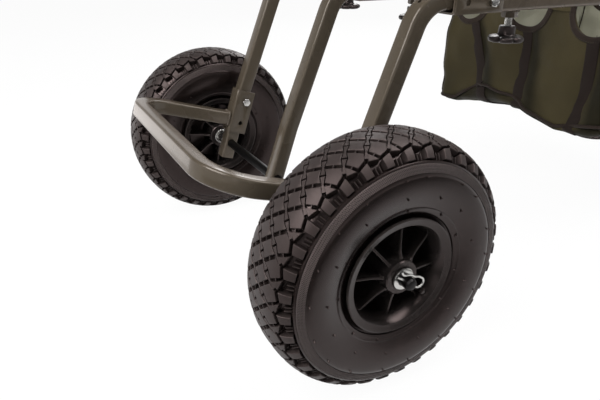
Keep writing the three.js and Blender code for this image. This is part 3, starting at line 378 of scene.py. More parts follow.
def cutHoles(obj, cutters):
    for cutter in cutters:
        cutting = obj.modifiers.new("hole", "BOOLEAN")
        cutting.object = cutter
        cutting.solver = "EXACT"
    bake(obj)
    for cutter in cutters:
        bpy.data.objects.remove(cutter)


def softenEdges(obj, width, segments=2):
    bevel = obj.modifiers.new("softEdges", "BEVEL")
    bevel.width, bevel.segments = width, segments
    bevel.limit_method, bevel.angle_limit = "ANGLE", math.radians(40)
    bake(obj)
    smoothBy(obj.data, 40)


def joinPieces(name, objects):
    # one object that keeps each piece's material
    work = bmesh.new()
    slots = []
    for obj in objects:
        slots += [material for material in obj.data.materials if material not in slots]
        local = dict(enumerate(slots.index(material) for material in obj.data.materials))
        before = len(work.faces)
        work.from_mesh(obj.data)
        work.faces.ensure_lookup_table()
        for face in work.faces[before:]:
            face.material_index = local.get(face.material_index, 0)
    mesh = bpy.data.meshes.new(name)
    work.to_mesh(mesh)
    work.free()
    for material in slots:
        mesh.materials.append(material)
    for obj in objects:
        bpy.data.objects.remove(obj)
    return newObject(name, mesh)


def finish(obj, body, node):
    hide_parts(node)
    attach(obj, body)


def roundedOutline(width, height, radius, steps=5):
    points = []
    for quarter, (sx, sy) in enumerate(((1, 1), (-1, 1), (-1, -1), (1, -1))):
        for step in range(steps + 1):
            angle = (quarter + step / steps) * math.pi / 2
            points.append((sx * (width / 2 - radius) + radius * math.cos(angle),
                           sy * (height / 2 - radius) + radius * math.sin(angle)))
    return points


def circleOutline(radius, count):
    return [(radius * math.cos(2 * math.pi * i / count), radius * math.sin(2 * math.pi * i / count))
            for i in range(count)]


def route(corners, radii, steps=14, closed=False):
    # stations of a line that turns each corner on an arc: (place, heading)
    corners = [Vector(c) for c in corners]
    stations = []
    count = len(corners)
    turning = range(count) if closed else range(1, count - 1)
    if not closed:
        stations.append((corners[0], (corners[1] - corners[0]).normalized()))
    for k, i in enumerate(turning):
        into = (corners[i] - corners[i - 1]).normalized()
        out = (corners[(i + 1) % count] - corners[i]).normalized()
        bend = into.angle(out)
        axis = into.cross(out).normalized()
        inward = axis.cross(into)
        start = corners[i] - into * radii[k] * math.tan(bend / 2)
        centre = start + inward * radii[k]
        for step in range(steps + 1):
            spin = Matrix.Rotation(bend * step / steps, 3, axis)
            stations.append((centre + spin @ (start - centre), spin @ into))
    if not closed:
        stations.append((corners[-1], (corners[-1] - corners[-2]).normalized()))
    return stations


def sidesOf(axis):
    side = axis.orthogonal().normalized()
    return side, axis.cross(side)


def ringFaces(rings, count, closed=False, capped=False):
    # quads between rings of count vertices each, in the order in which they were made
    faces = []
    for level in range(rings if closed else rings - 1):
        a, b = level * count, (level + 1) % rings * count
        faces += [(a + i, a + (i + 1) % count, b + (i + 1) % count, b + i) for i in range(count)]
    if capped:
        faces += [tuple(range(count)), tuple(range((rings - 1) * count, rings * count))]
    return faces


def sweepShape(stations, outline, fixed, closed=False, bore=None):
    # carries an outline along stations; fixed is the direction its first axis keeps
    verts = []
    for line in (outline, bore or []):
        for place, heading in stations:
            second = heading.cross(fixed).normalized()
            first = second.cross(heading).normalized()
            verts += [place + first * a + second * b for a, b in line]
    count, rings = len(outline), len(stations)
    faces = ringFaces(rings, count, closed, not (closed or bore))
    if bore:
        base = rings * count
        faces += [tuple(base + v for v in face) for face in faces]
        for first in (0, base - count):
            for i in range(count):
                a, b = first + i, first + (i + 1) % count
                faces.append((a, b, base + b, base + a))
    return verts, faces


tube = {"size": 0.019, "wall": 0.0015, "corner": 0.0030}
railTube = {"size": 0.026, "wall": 0.002, "corner": 0.0038}


def squareTube(name, stations, fixed, sizes=tube, closed=False, hollow=True):
    size, bore = sizes["size"], sizes["size"] - 2 * sizes["wall"]
    inside = roundedOutline(bore, bore, sizes["corner"] - sizes["wall"] * 0.8) if hollow else None
    verts, faces = sweepShape(stations, roundedOutline(size, size, sizes["corner"]), fixed, closed, inside)
    return newPiece(name, verts, faces, "paint")


def straight(first, last):
    heading = (Vector(last) - Vector(first)).normalized()
    return [(Vector(first), heading), (Vector(last), heading)]


def latheX(name, outline, centre, material, segments=96, degrees=32, sign=1):
    # a closed outline of (radius, offset) turned about a line along X through centre
    verts = []
    for s in range(segments):
        angle = 2 * math.pi * s / segments
        verts += [(centre[0] + sign * x, centre[1] + r * math.cos(angle), centre[2] + r * math.sin(angle))
                  for r, x in outline]
    return newPiece(name, verts, ringFaces(segments, len(outline), closed=True), material, degrees)


def turnedRings(rings, origin, axis, count):
    # rings of (radius, distance) round an axis; a radius may be a function of the angle
    axis = Vector(axis).normalized()
    side, other = sidesOf(axis)
    verts = []
    for radius, distance in rings:
        for s in range(count):
            angle = 2 * math.pi * s / count
            r = radius(angle) if callable(radius) else radius
            verts.append(Vector(origin) + axis * distance + (side * math.cos(angle) + other * math.sin(angle)) * r)
    return verts


def latheAlong(name, profile, origin, axis, material, segments=32, degrees=32, capped=False):
    # an open profile of (radius, distance) turned about an axis, from pole to pole or capped
    verts = turnedRings(profile, origin, axis, segments)
    return newPiece(name, verts, ringFaces(len(profile), segments, capped=capped), material, degrees)


def drill(start, axis, radius, length, segments=32):
    # a round cutter for a hole
    profile = [(0, 0), (radius, 0), (radius, length), (0, length)]
    return latheAlong("drill", profile, start, axis, "paint", segments)


def newTree(name, inputs):
    tree = bpy.data.node_groups.new(name, "GeometryNodeTree")
    tree.interface.new_socket(name="Geometry", in_out="INPUT", socket_type="NodeSocketGeometry")
    ids = {}
    for label, kind in {**inputs, "Seed": "Int", "Material": "Material"}.items():
        socket = tree.interface.new_socket(name=label, in_out="INPUT", socket_type="NodeSocket" + kind)
        ids[label] = socket.identifier
    tree.interface.new_socket(name="Geometry", in_out="OUTPUT", socket_type="NodeSocketGeometry")
    return tree, ids, tree.nodes.new("NodeGroupInput").outputs


def randomNode(tree, seed, low, high):
    values = {"Seed": seed, 2: low, 3: high}
    return addNode(tree, "FunctionNodeRandomValue", values, data_type="FLOAT").outputs[1]


def placeCopies(tree, given, values):
    # sets copies on points, makes them real and gives them their material
    copies = addNode(tree, "GeometryNodeInstanceOnPoints", values).outputs["Instances"]
    real = addNode(tree, "GeometryNodeRealizeInstances", {"Geometry": copies}).outputs[0]
    coated = addNode(tree, "GeometryNodeSetMaterial", {"Geometry": real, "Material": given["Material"]}).outputs[0]
    addNode(tree, "NodeGroupOutput", {"Geometry": coated})


def makeAroundAxleTree():
    # copies what it is given round a line along X: one pitch of tread, one spoke, one vent stub
    tree, ids, given = newTree("aroundAxle", {
        "Count": "Int", "Centre": "Vector", "Start Angle": "Float", "Wobble": "Float"})
    line = addNode(tree, "GeometryNodeMeshLine", {
        "Offset": (0, 0, 0), "Count": given["Count"], "Start Location": given["Centre"]}, mode="OFFSET")
    share = mathNode(tree, "DIVIDE", addNode(tree, "GeometryNodeInputIndex").outputs[0], given["Count"])
    angle = mathNode(tree, "MULTIPLY_ADD", share, 2 * math.pi, given["Start Angle"])
    negative = mathNode(tree, "MULTIPLY", given["Wobble"], -1)
    turned = mathNode(tree, "ADD", angle, randomNode(tree, given["Seed"], negative, given["Wobble"]))
    placeCopies(tree, given, {
        "Points": line.outputs["Mesh"], "Instance": given["Geometry"],
        "Rotation": addNode(tree, "ShaderNodeCombineXYZ", {"X": turned}).outputs[0]})
    return tree, ids


def makeLumpsTree():
    # lays small overlapping lumps along the edges it is given: weld beads and stitches
    tree, ids, given = newTree("lumpsAlong", {"Spacing": "Float", "Size": "Vector", "Unevenness": "Float"})
    curve = addNode(tree, "GeometryNodeMeshToCurve", {"Mesh": given["Geometry"]}).outputs[0]
    points = addNode(tree, "GeometryNodeCurveToPoints", {"Curve": curve, "Length": given["Spacing"]},
                     mode="LENGTH").outputs
    lump = addNode(tree, "GeometryNodeMeshIcoSphere", {"Radius": 1.0, "Subdivisions": 2}).outputs["Mesh"]
    uneven = randomNode(tree, given["Seed"], mathNode(tree, "SUBTRACT", 1.0, given["Unevenness"]), 1.0)
    size = addNode(tree, "ShaderNodeVectorMath", {0: given["Size"], "Scale": uneven}, operation="SCALE").outputs[0]
    placeCopies(tree, given, {
        "Points": points["Points"], "Instance": lump, "Rotation": points["Rotation"], "Scale": size})
    return tree, ids


aroundAxle, lumpsAlong = makeAroundAxleTree(), makeLumpsTree()


def runTree(obj, made, values):
    tree, ids = made
    modifier = obj.modifiers.new(tree.name, "NODES")
    modifier.node_group = tree
    for label, value in values.items():
        modifier[ids[label]] = value
    return bake(obj)


def copyRound(obj, centre, count, turn, material, seed, wobble=0.0):
    return runTree(obj, aroundAxle, {
        "Count": count, "Centre": centre, "Start Angle": turn, "Wobble": wobble, "Seed": seed,
        "Material": materials[material]})


def lumpLine(name, lines, spacing, size, material="weld", unevenness=0.25, seed=3):
    # lines: lists of points; a closed line repeats its first point
    verts, edges = [], []
    for line in lines:
        base = len(verts)
        verts += [tuple(p) for p in line]
        edges += [(base + i, base + i + 1) for i in range(len(line) - 1)]
    mesh = bpy.data.meshes.new(name)
    mesh.from_pydata(verts, edges, [])
    obj = runTree(newObject(name, mesh), lumpsAlong, {
        "Spacing": spacing, "Size": size, "Unevenness": unevenness, "Seed": seed,
        "Material": materials[material]})
    smoothBy(obj.data, 60)
    return obj


def squareRing(centre, first, second, half, steps=8):
    # a closed square line with soft corners round a tube
    points = [Vector(centre) + Vector(first) * a + Vector(second) * b
              for a, b in roundedOutline(2 * half, 2 * half, half * 0.3, steps)]
    return points + [points[0]]


upright = {
    "footDrop": 0.022, "kinkHeight": 0.065, "kinkReach": 0.0215, "kinkRadius": 0.150, "upperSlope": 0.395,
    "shoulderRadius": 0.038, "steps": 16, "axleHole": 0.0064, "drainHole": 0.0021, "drainStation": 25,
    "openHole": 0.0033, "openHoleUp": 0.0335, "openHoleBack": 0.0050,
}


def makeUpright(which):
    name = "upright_" + which
    low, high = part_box(name)
    x, runHeight = (low.x + high.x) / 2, high.z - tube["size"] / 2
    rise = runHeight - axleZ - upright["kinkHeight"]
    kink = Vector((x, axleY + upright["kinkReach"], axleZ + upright["kinkHeight"]))
    axle = Vector((x, axleY, axleZ))
    foot = axle + (kink - axle) * (-upright["footDrop"] / upright["kinkHeight"])
    shoulder = Vector((x, kink.y + rise * upright["upperSlope"], runHeight))
    end = Vector((x, high.y, runHeight))
    radii = [upright["kinkRadius"], upright["shoulderRadius"]]
    stations = route([foot, kink, shoulder, end], radii, upright["steps"])
    obj = squareTube(name + "Tube", stations, alongX)
    # the axle's hole and the small drain hole in the shoulder's bend are cut through the wall
    bendPlace, bendHeading = stations[upright["drainStation"]]
    outward = bendHeading.cross(alongX)
    if outward.y > 0:
        outward = -outward
    cutters = [drill(axle - alongX * 0.02, alongX, upright["axleHole"], 0.04),
               drill(bendPlace, outward, upright["drainHole"], 0.016, 16)]
    if which != "middle":
        lean = (kink - axle).normalized()
        spot = axle + lean * upright["openHoleUp"] - Vector((0, -lean.z, lean.y)) * upright["openHoleBack"]
        cutters.append(drill(spot - alongX * 0.03, alongX, upright["openHole"], 0.06, 24))
    cutHoles(obj, cutters)
    smoothBy(obj.data, 32)
    finish(obj, "wheel_frame", name)


for which in ("near", "middle", "far"):
    makeUpright(which)


frontHoop = {"lift": 16.9, "plane": 0.0368, "reach": 0.1525, "bend": 0.049}
weld = {  # the spacing and size of the lumps, and how far a bead stands off its tube
    "hoop": (0.0022, (0.0016, 0.0016, 0.0019)), "nut": (0.002, (0.0013, 0.0013, 0.0016)),
    "socket": (0.0024, (0.0018, 0.0018, 0.0022)), "deck": (0.0024, (0.0016, 0.0016, 0.002)),
    "off": 0.0004, "barOff": 0.0003, "railOff": 0.0002,
}


def hoopStations(kind):
    low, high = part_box(kind)
    half = tube["size"] / 2
    if kind == "front_hoop":
        lift = math.radians(frontHoop["lift"])
        forward = Vector((0, -math.cos(lift), math.sin(lift)))
        normal = Vector((0, math.sin(lift), math.cos(lift)))
        base = Vector((0, axleY, axleZ)) + normal * frontHoop["plane"]
        back = (high.y - half * math.sin(lift) - base.y) / forward.y
        ends = [base + forward * back, base + forward * frontHoop["reach"]]
    else:
        forward, normal = alongZ, alongY
        y = (low.y + high.y) / 2
        ends = [Vector((0, y, low.z)), Vector((0, y, high.z - half))]
    left, right = alongX * (low.x + half), alongX * (high.x - half)
    points = [ends[0] + left, ends[1] + left, ends[1] + right, ends[0] + right]
    return route(points, [frontHoop["bend"]] * 2, 18), normal, forward


def makeHoop(kind, body):
    stations, normal, forward = hoopStations(kind)
    beads = [squareRing(stations[i][0] + forward * 0.0022, alongX, normal, tube["size"] / 2 + weld["off"])
             for i in (0, -1)]
    pieces = [squareTube(kind + "Tube", stations, normal), lumpLine(kind + "Bead", beads, *weld["hoop"])]
    finish(joinPieces(kind + "Tube", pieces), body, kind)


makeHoop("front_hoop", "wheel_frame")
makeHoop("guard_hoop", "bed")


clamp = {
    "nutRadius": 0.0087, "nutHeight": 0.0074, "screw": 0.004, "thread": 0.0007, "pitch": 0.00125,
    "discRadius": 0.0195, "discThick": 0.007, "hubRadius": 0.0087, "hubHeight": 0.010, "lobes": 6,
    "notchWidth": 0.13, "notchDepth": 0.17, "crown": 0.035,
}


def hexagon(across, limit):
    # the radius round a hexagon whose corners are turned down to a limit
    step = math.pi / 3
    return lambda angle: min(across * math.cos(step / 2) / math.cos((angle % step) - step / 2), limit)


def hexNut(name, origin, axis, across, height, hole, material):
    # a nut with turned-down corners, standing off origin along axis
    flat, chamfer, count = across * math.cos(math.pi / 6), height * 0.14, 72
    lower = [(hole, 0.0), (hexagon(across, flat * 0.985), 0.0), (hexagon(across, flat * 1.06), chamfer * 0.4),
             (hexagon(across, across), chamfer)]
    rings = lower + [(radius, height - d) for radius, d in reversed(lower)]
    verts = turnedRings(rings, origin, axis, count)
    return newPiece(name, verts, ringFaces(len(rings), count, closed=True), material, 20)


def clampPlace(name):
    # the screw's tip, where the knob ends and the way between them, read off the solids
    low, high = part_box("clamp_screw_" + name)
    knobLow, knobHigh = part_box("clamp_knob_" + name)
    x, y, z = middleOf("clamp_screw_" + name)
    if not name.startswith("leg"):
        return Vector((x, y, high.z)), Vector((x, y, knobLow.z)), -alongZ
    tip, end = (low.x, knobHigh.x) if x > 0 else (high.x, knobLow.x)
    return Vector((tip, y, z)), Vector((end, y, z)), alongX if x > 0 else -alongX


def weldNut(name, face):
    tip, _, out = clampPlace(name)
    origin = tip - out * (tip - face).dot(out)
    nut = hexNut(name + "Nut", origin, out, clamp["nutRadius"], clamp["nutHeight"], clamp["screw"] + 0.0004,
                 "paint")
    side, other = sidesOf(out)
    ring = [origin + out * 0.0006 + (side * math.cos(a) + other * math.sin(a)) * (clamp["nutRadius"] + 0.0003)
            for a in [2 * math.pi * i / 40 for i in range(41)]]
    return [nut, lumpLine(name + "NutBead", [ring], *weld["nut"])]


def makeRail(name, clamps):
    low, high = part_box(name)
    x, half = (low.x + high.x) / 2, railTube["size"] / 2
    z = high.z - half
    pieces = [squareTube(name + "Tube", straight((x, low.y, z), (x, high.y, z)), alongX, railTube)]
    for clampName in clamps:
        tip = clampPlace(clampName)[0]
        pieces += weldNut(clampName, Vector((tip.x, tip.y, z - half)))
    finish(joinPieces(name + "Tube", pieces), "bed", name)


makeRail("side_rail_near", ("front_near", "handle_near"))
makeRail("centre_rail", ("front_middle",))
makeRail("side_rail_far", ("front_far", "handle_far"))


socket = {"fromMiddle": 0.158, "beadDrop": 0.001}


def makeSocket(which, sign):
    name = "leg_socket_" + which
    low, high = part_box(name)
    x, y, half = sign * socket["fromMiddle"], (low.y + high.y) / 2, railTube["size"] / 2
    sleeve = squareTube(name + "Tube", straight((x, y, low.z), (x, y, high.z)), alongX, railTube)
    ring = squareRing((x, y, high.z - socket["beadDrop"]), alongX, alongY, half + weld["off"])
    bead = lumpLine(name + "Bead", [ring], *weld["socket"])
    tip = clampPlace("leg_" + which)[0]
    nut = weldNut("leg_" + which, Vector((x + sign * half, tip.y, tip.z)))
    finish(joinPieces(name + "Tube", [sleeve, bead, *nut]), "bed", name)


for which, sign in sides.items():
    makeSocket(which, sign)


deck = {"bend": 0.060, "crossBars": 3, "barBeadIn": 0.0012}


def makeDeck():
    low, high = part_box("deck_frame")
    half = tube["size"] / 2
    z = (low.z + high.z) / 2
    points = [(low.x + half, low.y + half, z), (high.x - half, low.y + half, z),
              (high.x - half, high.y - half, z), (low.x + half, high.y - half, z)]
    stations = route(points, [deck["bend"]] * 4, 18, closed=True)
    loop = squareTube("deckLoop", stations, alongZ, closed=True, hollow=False)
    beads = []
    for i in range(1, deck["crossBars"] + 1):
        barLow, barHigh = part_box(f"deck_cross_bar_{i}")
        y = (barLow.y + barHigh.y) / 2
        ends = straight((barLow.x, y, z), (barHigh.x, y, z))
        bar = squareTube(f"deckCrossBar{i}", ends, alongZ, hollow=False)
        finish(bar, "bed", f"deck_cross_bar_{i}")
        for place, inward in ((barLow.x, deck["barBeadIn"]), (barHigh.x, -deck["barBeadIn"])):
            beads.append(squareRing((place + inward, y, z), alongY, alongZ, half + weld["barOff"]))
    # where the deck stands on the rails
    for side in sides:
        x, off = middleOf("side_rail_" + side)[0], weld["railOff"]
        for y in (low.y + half, high.y - half):
            for edge in (-half - off, half + off):
                beads.append([(x + step * 0.002, y + edge, low.z - off) for step in range(-5, 6)])
    pieces = [loop, lumpLine("deckBeads", beads, *weld["deck"])]
    finish(joinPieces("deckLoop", pieces), "bed", "deck_frame")


makeDeck()
print("tubes made")


bracket = {
    "thick": 0.0020, "fold": 0.0032, "fit": 0.0003, "edge": 0.0003, "length": 0.064, "depth": 0.028,
    "hole": 0.0033, "firstHole": 0.0155, "holePitch": 0.033, "holeBack": 0.0168, "hoopStart": 0.018,
}
bolt = {"across": 0.0058, "height": 0.004, "shank": 0.003, "nut": 0.005, "nutBore": 0.0029, "off": 0.0002,
        "through": 0.008, "screw": 0.004}


def plateHalf(sizes):
    # from the middle of the tube that a bracket goes round to the bracket's outside
    return sizes["size"] / 2 + bracket["fit"] + bracket["thick"]


def boltPlace(along, sizes, base, up, out):
    return base + up * along + out * (plateHalf(sizes) - bracket["holeBack"])


def makeBracket(name, sizes, base, up, out):
    # a plate folded into a U: base is the middle of its lower end, up runs along it,
    # out points to the side that the fold is on; its arms reach back from there
    front, half = plateHalf(sizes), bracket["thick"] / 2
    edge, back = front - half, front - bracket["depth"]
    line = route([(-edge, back, 0), (-edge, edge, 0), (edge, edge, 0), (edge, back, 0)],
                 [bracket["fold"] - half] * 2, 6)
    skins = [[place + Vector((-heading.y, heading.x, 0)) * way for place, heading in line]
             for way in (half, -half)]
    verts = [base + alongX * spot.x + out * spot.y + up * level
             for level in (0, bracket["length"]) for spot in skins[0] + skins[1][::-1]]
    count = 2 * len(line)
    faces = ringFaces(2, count)
    for end in (0, count):
        faces += [(end + i, end + i + 1, end + count - 2 - i, end + count - 1 - i) for i in range(len(line) - 1)]
    obj = newPiece(name + "Plate", verts, faces, "paint", 40)
    cutters = []
    for k in (0, 1):
        spot = boltPlace(bracket["firstHole"] + k * bracket["holePitch"], sizes, base, up, out)
        cutters.append(drill(spot - alongX * 0.03, alongX, bracket["hole"], 0.06))
    cutHoles(obj, cutters)
    softenEdges(obj, bracket["edge"])
    return obj, spot


def boltHead(name, seat, out, length):
    # hexagon head with a washer face and a slightly crowned top, and its shank
    across, height, shank = bolt["across"], bolt["height"], bolt["shank"]
    flat = across * math.cos(math.pi / 6)
    rings = [(shank - 0.0004, -length), (shank, -length + 0.0005), (shank, -0.0001), (flat * 0.93, 0.0),
             (flat * 0.93, 0.0004), (hexagon(across, across), 0.0006), (hexagon(across, across), height * 0.80),
             (hexagon(across, flat * 1.04), height * 0.93), (hexagon(across, flat * 0.93), height),
             (flat * 0.5, height + 0.00012)]
    return latheAlong(name, rings, seat, out, "zinc", 72, 24, capped=True)


def makeHoopBracket(which, sign):
    name = "hoop_bracket_" + which
    lean = math.atan2(upright["kinkReach"], upright["kinkHeight"])
    up = Vector((0, math.sin(lean), math.cos(lean)))
    base = Vector((middleOf(name)[0], axleY, axleZ)) + up * bracket["hoopStart"]
    plate, spot = makeBracket(name, tube, base, up, Vector((0, -math.cos(lean), math.sin(lean))))
    finish(plate, "wheel_frame", name)
    outward, outer = alongX * sign, plateHalf(tube)
    seat = outward * (outer + bolt["off"])
    head = boltHead("hoopBoltHead", spot - seat, -outward, 2 * outer + bolt["through"])
    nut = hexNut("hoopBoltNut", spot + seat, outward, bolt["across"], bolt["nut"], bolt["nutBore"], "zinc")
    joined = joinPieces("hoopBolt" + which.capitalize(), [head, nut])
    finish(joined, "wheel_frame", "hoop_bolt_" + which)


def makeRailBracket(which):
    name = "rail_bracket_" + which
    low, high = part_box(name)
    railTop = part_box("side_rail_" + which)[1].z
    base = Vector(((low.x + high.x) / 2, low.y, railTop - railTube["size"] / 2))
    plate, spot = makeBracket(name, railTube, base, alongY, alongZ)
    screws = [boltHead("railBracketScrew", spot + alongX * way * plateHalf(railTube), alongX * way, bolt["screw"])
              for way in (1, -1)]
    joined = joinPieces("railBracket" + which.capitalize(), [plate, *screws])
    finish(joined, "bed", name)


for which, sign in sides.items():
    makeHoopBracket(which, sign)
for which in sides:
    makeRailBracket(which)


def lobed(share):
    # the radius round a knob with round lobes and narrow notches between them
    def radiusAt(angle):
        wave = (angle * clamp["lobes"] / (2 * math.pi)) % 1.0
        notch = math.exp(-((min(wave, 1 - wave) / clamp["notchWidth"]) ** 2))
        crown = 1 - clamp["crown"] * (2 * abs(wave - 0.5)) ** 2
        return clamp["discRadius"] * (crown - clamp["notchDepth"] * notch) * share
    return radiusAt


def makeKnob(name, seat, out):
    hub, height, thick, radius = [clamp[key] for key in ("hubRadius", "hubHeight", "discThick", "discRadius")]
    bore, top = clamp["screw"] + 0.0003, height + thick
    rings = [(bore, 0.004), (bore, 0.0), (hub * 0.90, 0.0), (hub, 0.0008), (hub * 1.03, height - 0.0022),
             (hub * 1.16, height - 0.0006), (hub * 1.4, height + 0.0002)]
    for share, depth in ((0.80, 0.0002), (0.93, 0.0010), (0.985, 0.0022), (1.0, 0.0034), (0.985, 0.0050),
                         (0.93, 0.0062), (0.82, 0.0068)):
        rings.append((lobed(share), height + depth))
    rings += [(radius * 0.55, top), (radius * 0.30, top), (radius * 0.27, top - 0.0006),
              (radius * 0.05, top - 0.0006)]
    knob = latheAlong("knob" + name, rings, seat, out, "knob", 144, 38, capped=True)
    finish(knob, "knob_" + name, "clamp_knob_" + name)


def makeScrew(name, tip, out, length):
    # a rod with a real thread wound round it
    side, other = sidesOf(out)
    pitch, top, root = clamp["pitch"], clamp["screw"], clamp["screw"] - clamp["thread"]
    profile = ((0.0, root), (0.30, top), (0.55, top), (0.85, root))
    around, step = 24, len(profile)
    rows = int(length / pitch * around) + around
    verts, faces = [], []
    for i in range(rows + 1):
        angle = 2 * math.pi * i / around
        for part, r in profile:
            along = min(max((i / around - 1 + part) * pitch, 0.0), length)
            verts.append(tip + out * along + (side * math.cos(angle) + other * math.sin(angle)) * r)
    for i in range(rows):
        a, b = i * step, (i + 1) * step
        faces += [(a + k, a + k + 1, b + k + 1, b + k) for k in range(step - 1)]
        if i + around < rows:
            faces.append((b - 1, a + around * step, b + around * step, b + step - 1))
    thread = newPiece("screw" + name, verts, faces, "zinc", 50)
    core = latheAlong("core", [(0, 0.0), (root + 0.0001, 0.0), (root + 0.0001, length), (0, length)], tip, out,
                      "zinc")
    finish(joinPieces("clampScrew" + name, [thread, core]), "knob_" + name, "clamp_screw_" + name)


for name in ("front_near", "front_middle", "front_far", "handle_near", "handle_far", "leg_near", "leg_far"):
    tip, end, out = clampPlace(name)
    seat = end - out * (clamp["discThick"] + clamp["hubHeight"])
    makeKnob(name, seat, out)
    makeScrew(name, tip, out, (seat + out * 0.0038 - tip).dot(out))
print("brackets and clamps made")


axleParts = {"radius": 0.006, "washer": 0.011, "fit": 0.0003, "spacer": 0.0085, "flange": 0.0024}


def makeAxle():
    r, first, last = axleParts["radius"], *[corner.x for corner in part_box("axle")]
    span = last - first
    rod = latheAlong("axleRod", [(0, 0), (r * 0.55, 0), (r * 0.80, 0.0004), (r, 0.0022), (r, span - 0.0022),
                                 (r * 0.80, span - 0.0004), (r * 0.55, span), (0, span)],
                     (first, axleY, axleZ), alongX, "darkSteel", 48)
    finish(rod, "wheel_frame", "axle")
    bore, out = r + axleParts["fit"], axleParts["washer"]
    for which, sign in sides.items():
        for kind in ("washer", "spacer"):
            name = f"axle_{kind}_{which}"
            low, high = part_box(name)
            inner, long = min(abs(low.x), abs(high.x)), high.x - low.x
            sleeve, start = axleParts["spacer"], long - axleParts["flange"]
            outline = [(bore, 0.0), (out - 0.0004, 0.0), (out, 0.0004), (out, long - 0.0005), (out - 0.0006, long),
                       (bore + 0.0003, long), (bore, long - 0.0003)]
            if kind == "spacer":
                outline = [(bore, 0.0), (sleeve - 0.0003, 0.0), (sleeve, 0.0003), (sleeve, start),
                           (out - 0.0004, start), (out, start + 0.0004), (out, long - 0.0004),
                           (out - 0.0004, long), (bore, long)]
            piece = latheX("axle" + kind.capitalize() + which.capitalize(), outline,
                           (sign * inner, axleY, axleZ), "zinc", 64, 30, sign)
            finish(piece, "wheel_frame", name)


makeAxle()


clip = {
    "turn": -38.0, "loop": 0.0050, "reach": 0.0170, "wire": 0.00112,
    "straightLeg": [(-0.0165, -0.0006), (-0.0120, 0.0), (-0.007, 0.0), (0.0, 0.0), (0.007, 0.0)],
    "sprungLeg": [(0.0040, 0.0086, 0.0004), (0.0005, 0.0074, 0.0006), (-0.0040, 0.0078, 0.0012),
                  (-0.0085, 0.0062, 0.0020), (-0.0125, 0.0040, 0.0024), (-0.0155, 0.0042, 0.0024),
                  (-0.0180, 0.0060, 0.0024)],
}


def makeClip(which, sign):
    # spring wire: a leg through the axle, a round eye, and a leg that snaps over it
    x = middleOf("hitch_clip_" + which)[0]
    turn, loop, reach = math.radians(clip["turn"]), clip["loop"], clip["reach"]
    points = [(*spot, 0) for spot in clip["straightLeg"]]
    for step in range(13):
        angle = -math.pi / 2 + math.pi * step / 12
        points.append((reach - loop + loop * math.cos(angle), loop + loop * math.sin(angle), 0.0002 * step / 12))
    points += [(reach - 2 * loop - 0.0008, 2 * loop - 0.0003, 0.0003), *clip["sprungLeg"]]
    curve = bpy.data.curves.new("clipWire", "CURVE")
    curve.dimensions = "3D"
    curve.bevel_depth, curve.bevel_resolution = clip["wire"], 5
    curve.use_fill_caps = True
    spline = curve.splines.new("NURBS")
    spline.points.add(len(points) - 1)
    spline.order_u, spline.resolution_u, spline.use_endpoint_u = 4, 8, True
    for point, (along, over, out) in zip(spline.points, points):
        y = along * math.cos(turn) - over * math.sin(turn)
        z = along * math.sin(turn) + over * math.cos(turn)
        point.co = (x + sign * out, axleY + y, axleZ + z, 1)
    line = newObject("clipLine", curve)
    bpy.context.view_layer.update()
    mesh = bpy.data.meshes.new_from_object(line.evaluated_get(bpy.context.evaluated_depsgraph_get()))
    bpy.data.objects.remove(line)
    mesh.materials.clear()
    mesh.materials.append(materials["zinc"])
    smoothBy(mesh, 50)
    wire = newObject("hitchClip" + which.capitalize(), mesh)
    finish(wire, "wheel_frame", "hitch_clip_" + which)


for which, sign in sides.items():
    makeClip(which, sign)
print("axle pieces made")


foot = {"radius": 0.038, "socket": 0.017, "bore": 0.0138, "height": 0.026, "thick": 0.007}


def makeLeg(which):
    name = "leg_" + which
    low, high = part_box(name)
    x, y = (low.x + high.x) / 2, (low.y + high.y) / 2
    leg = squareTube(name + "Tube", straight((x, y, low.z), (x, y, high.z)), alongX)
    finish(leg, name, name)
    r, s, b, thick, top = [foot[key] for key in ("radius", "socket", "bore", "thick", "height")]
    profile = [(0, 0.0), (r * 0.30, 0.0), (r * 0.33, 0.0012), (r * 0.55, 0.0012), (r * 0.58, 0.0),
               (r - 0.0035, 0.0), (r - 0.0010, 0.0010), (r, 0.0034), (r, thick - 0.0012), (r - 0.0012, thick),
               (s + 0.0085, thick + 0.0008), (s + 0.0035, 0.0105), (s + 0.0008, 0.0160), (s + 0.0002, 0.0215),
               (s + 0.0012, 0.0222), (s + 0.0012, 0.0252), (s + 0.0004, top), (b + 0.0006, top),
               (b, top - 0.0006), (b, thick + 0.0002), (0, thick + 0.0002)]
    piece = latheAlong("foot" + which.capitalize(), profile, (x, y, 0), alongZ, "plastic", 72)
    finish(piece, name, "foot_" + which)


handle = {"angle": 25.0, "bend": 0.070}
grip = {"radius": 0.0165, "length": 0.132, "ridges": 22, "ridgeDepth": 0.0013, "first": 0.0105, "lastBack": 0.020,
        "swell": 0.0009, "sunk": 0.0010}


def gripProfile(bore):
    # the mouth, a collar, swelling ridges, a second collar and the domed end
    r, length, depth = grip["radius"], grip["length"], grip["ridgeDepth"]
    profile = [(0, 0.006), (bore, 0.006), (bore, 0.0006), (bore + 0.0006, 0.0), (r - 0.0016, 0.0),
               (r - 0.0002, 0.0010), (r, 0.0028), (r, 0.0072), (r - 0.0008, 0.0088)]
    first, last = grip["first"], length - grip["lastBack"]
    pitch = (last - first) / grip["ridges"]
    for i in range(grip["ridges"]):
        top = r + grip["swell"] * math.sin(math.pi * i / (grip["ridges"] - 1)) - grip["sunk"]
        for sunk, share in ((depth, 0), (depth, 0.30), (0.0002, 0.42), (0, 0.55), (0.0002, 0.85), (depth, 0.98)):
            profile.append((top - sunk, first + i * pitch + pitch * share))
    return profile + [(r - 0.0008, last + 0.0006), (r, last + 0.002), (r, length - 0.0052),
                      (r - 0.0012, length - 0.0022), (r - 0.0042, length - 0.0004), (r - 0.0085, length),
                      (0.0022, length), (0.0020, length - 0.0012), (0, length - 0.0012)]


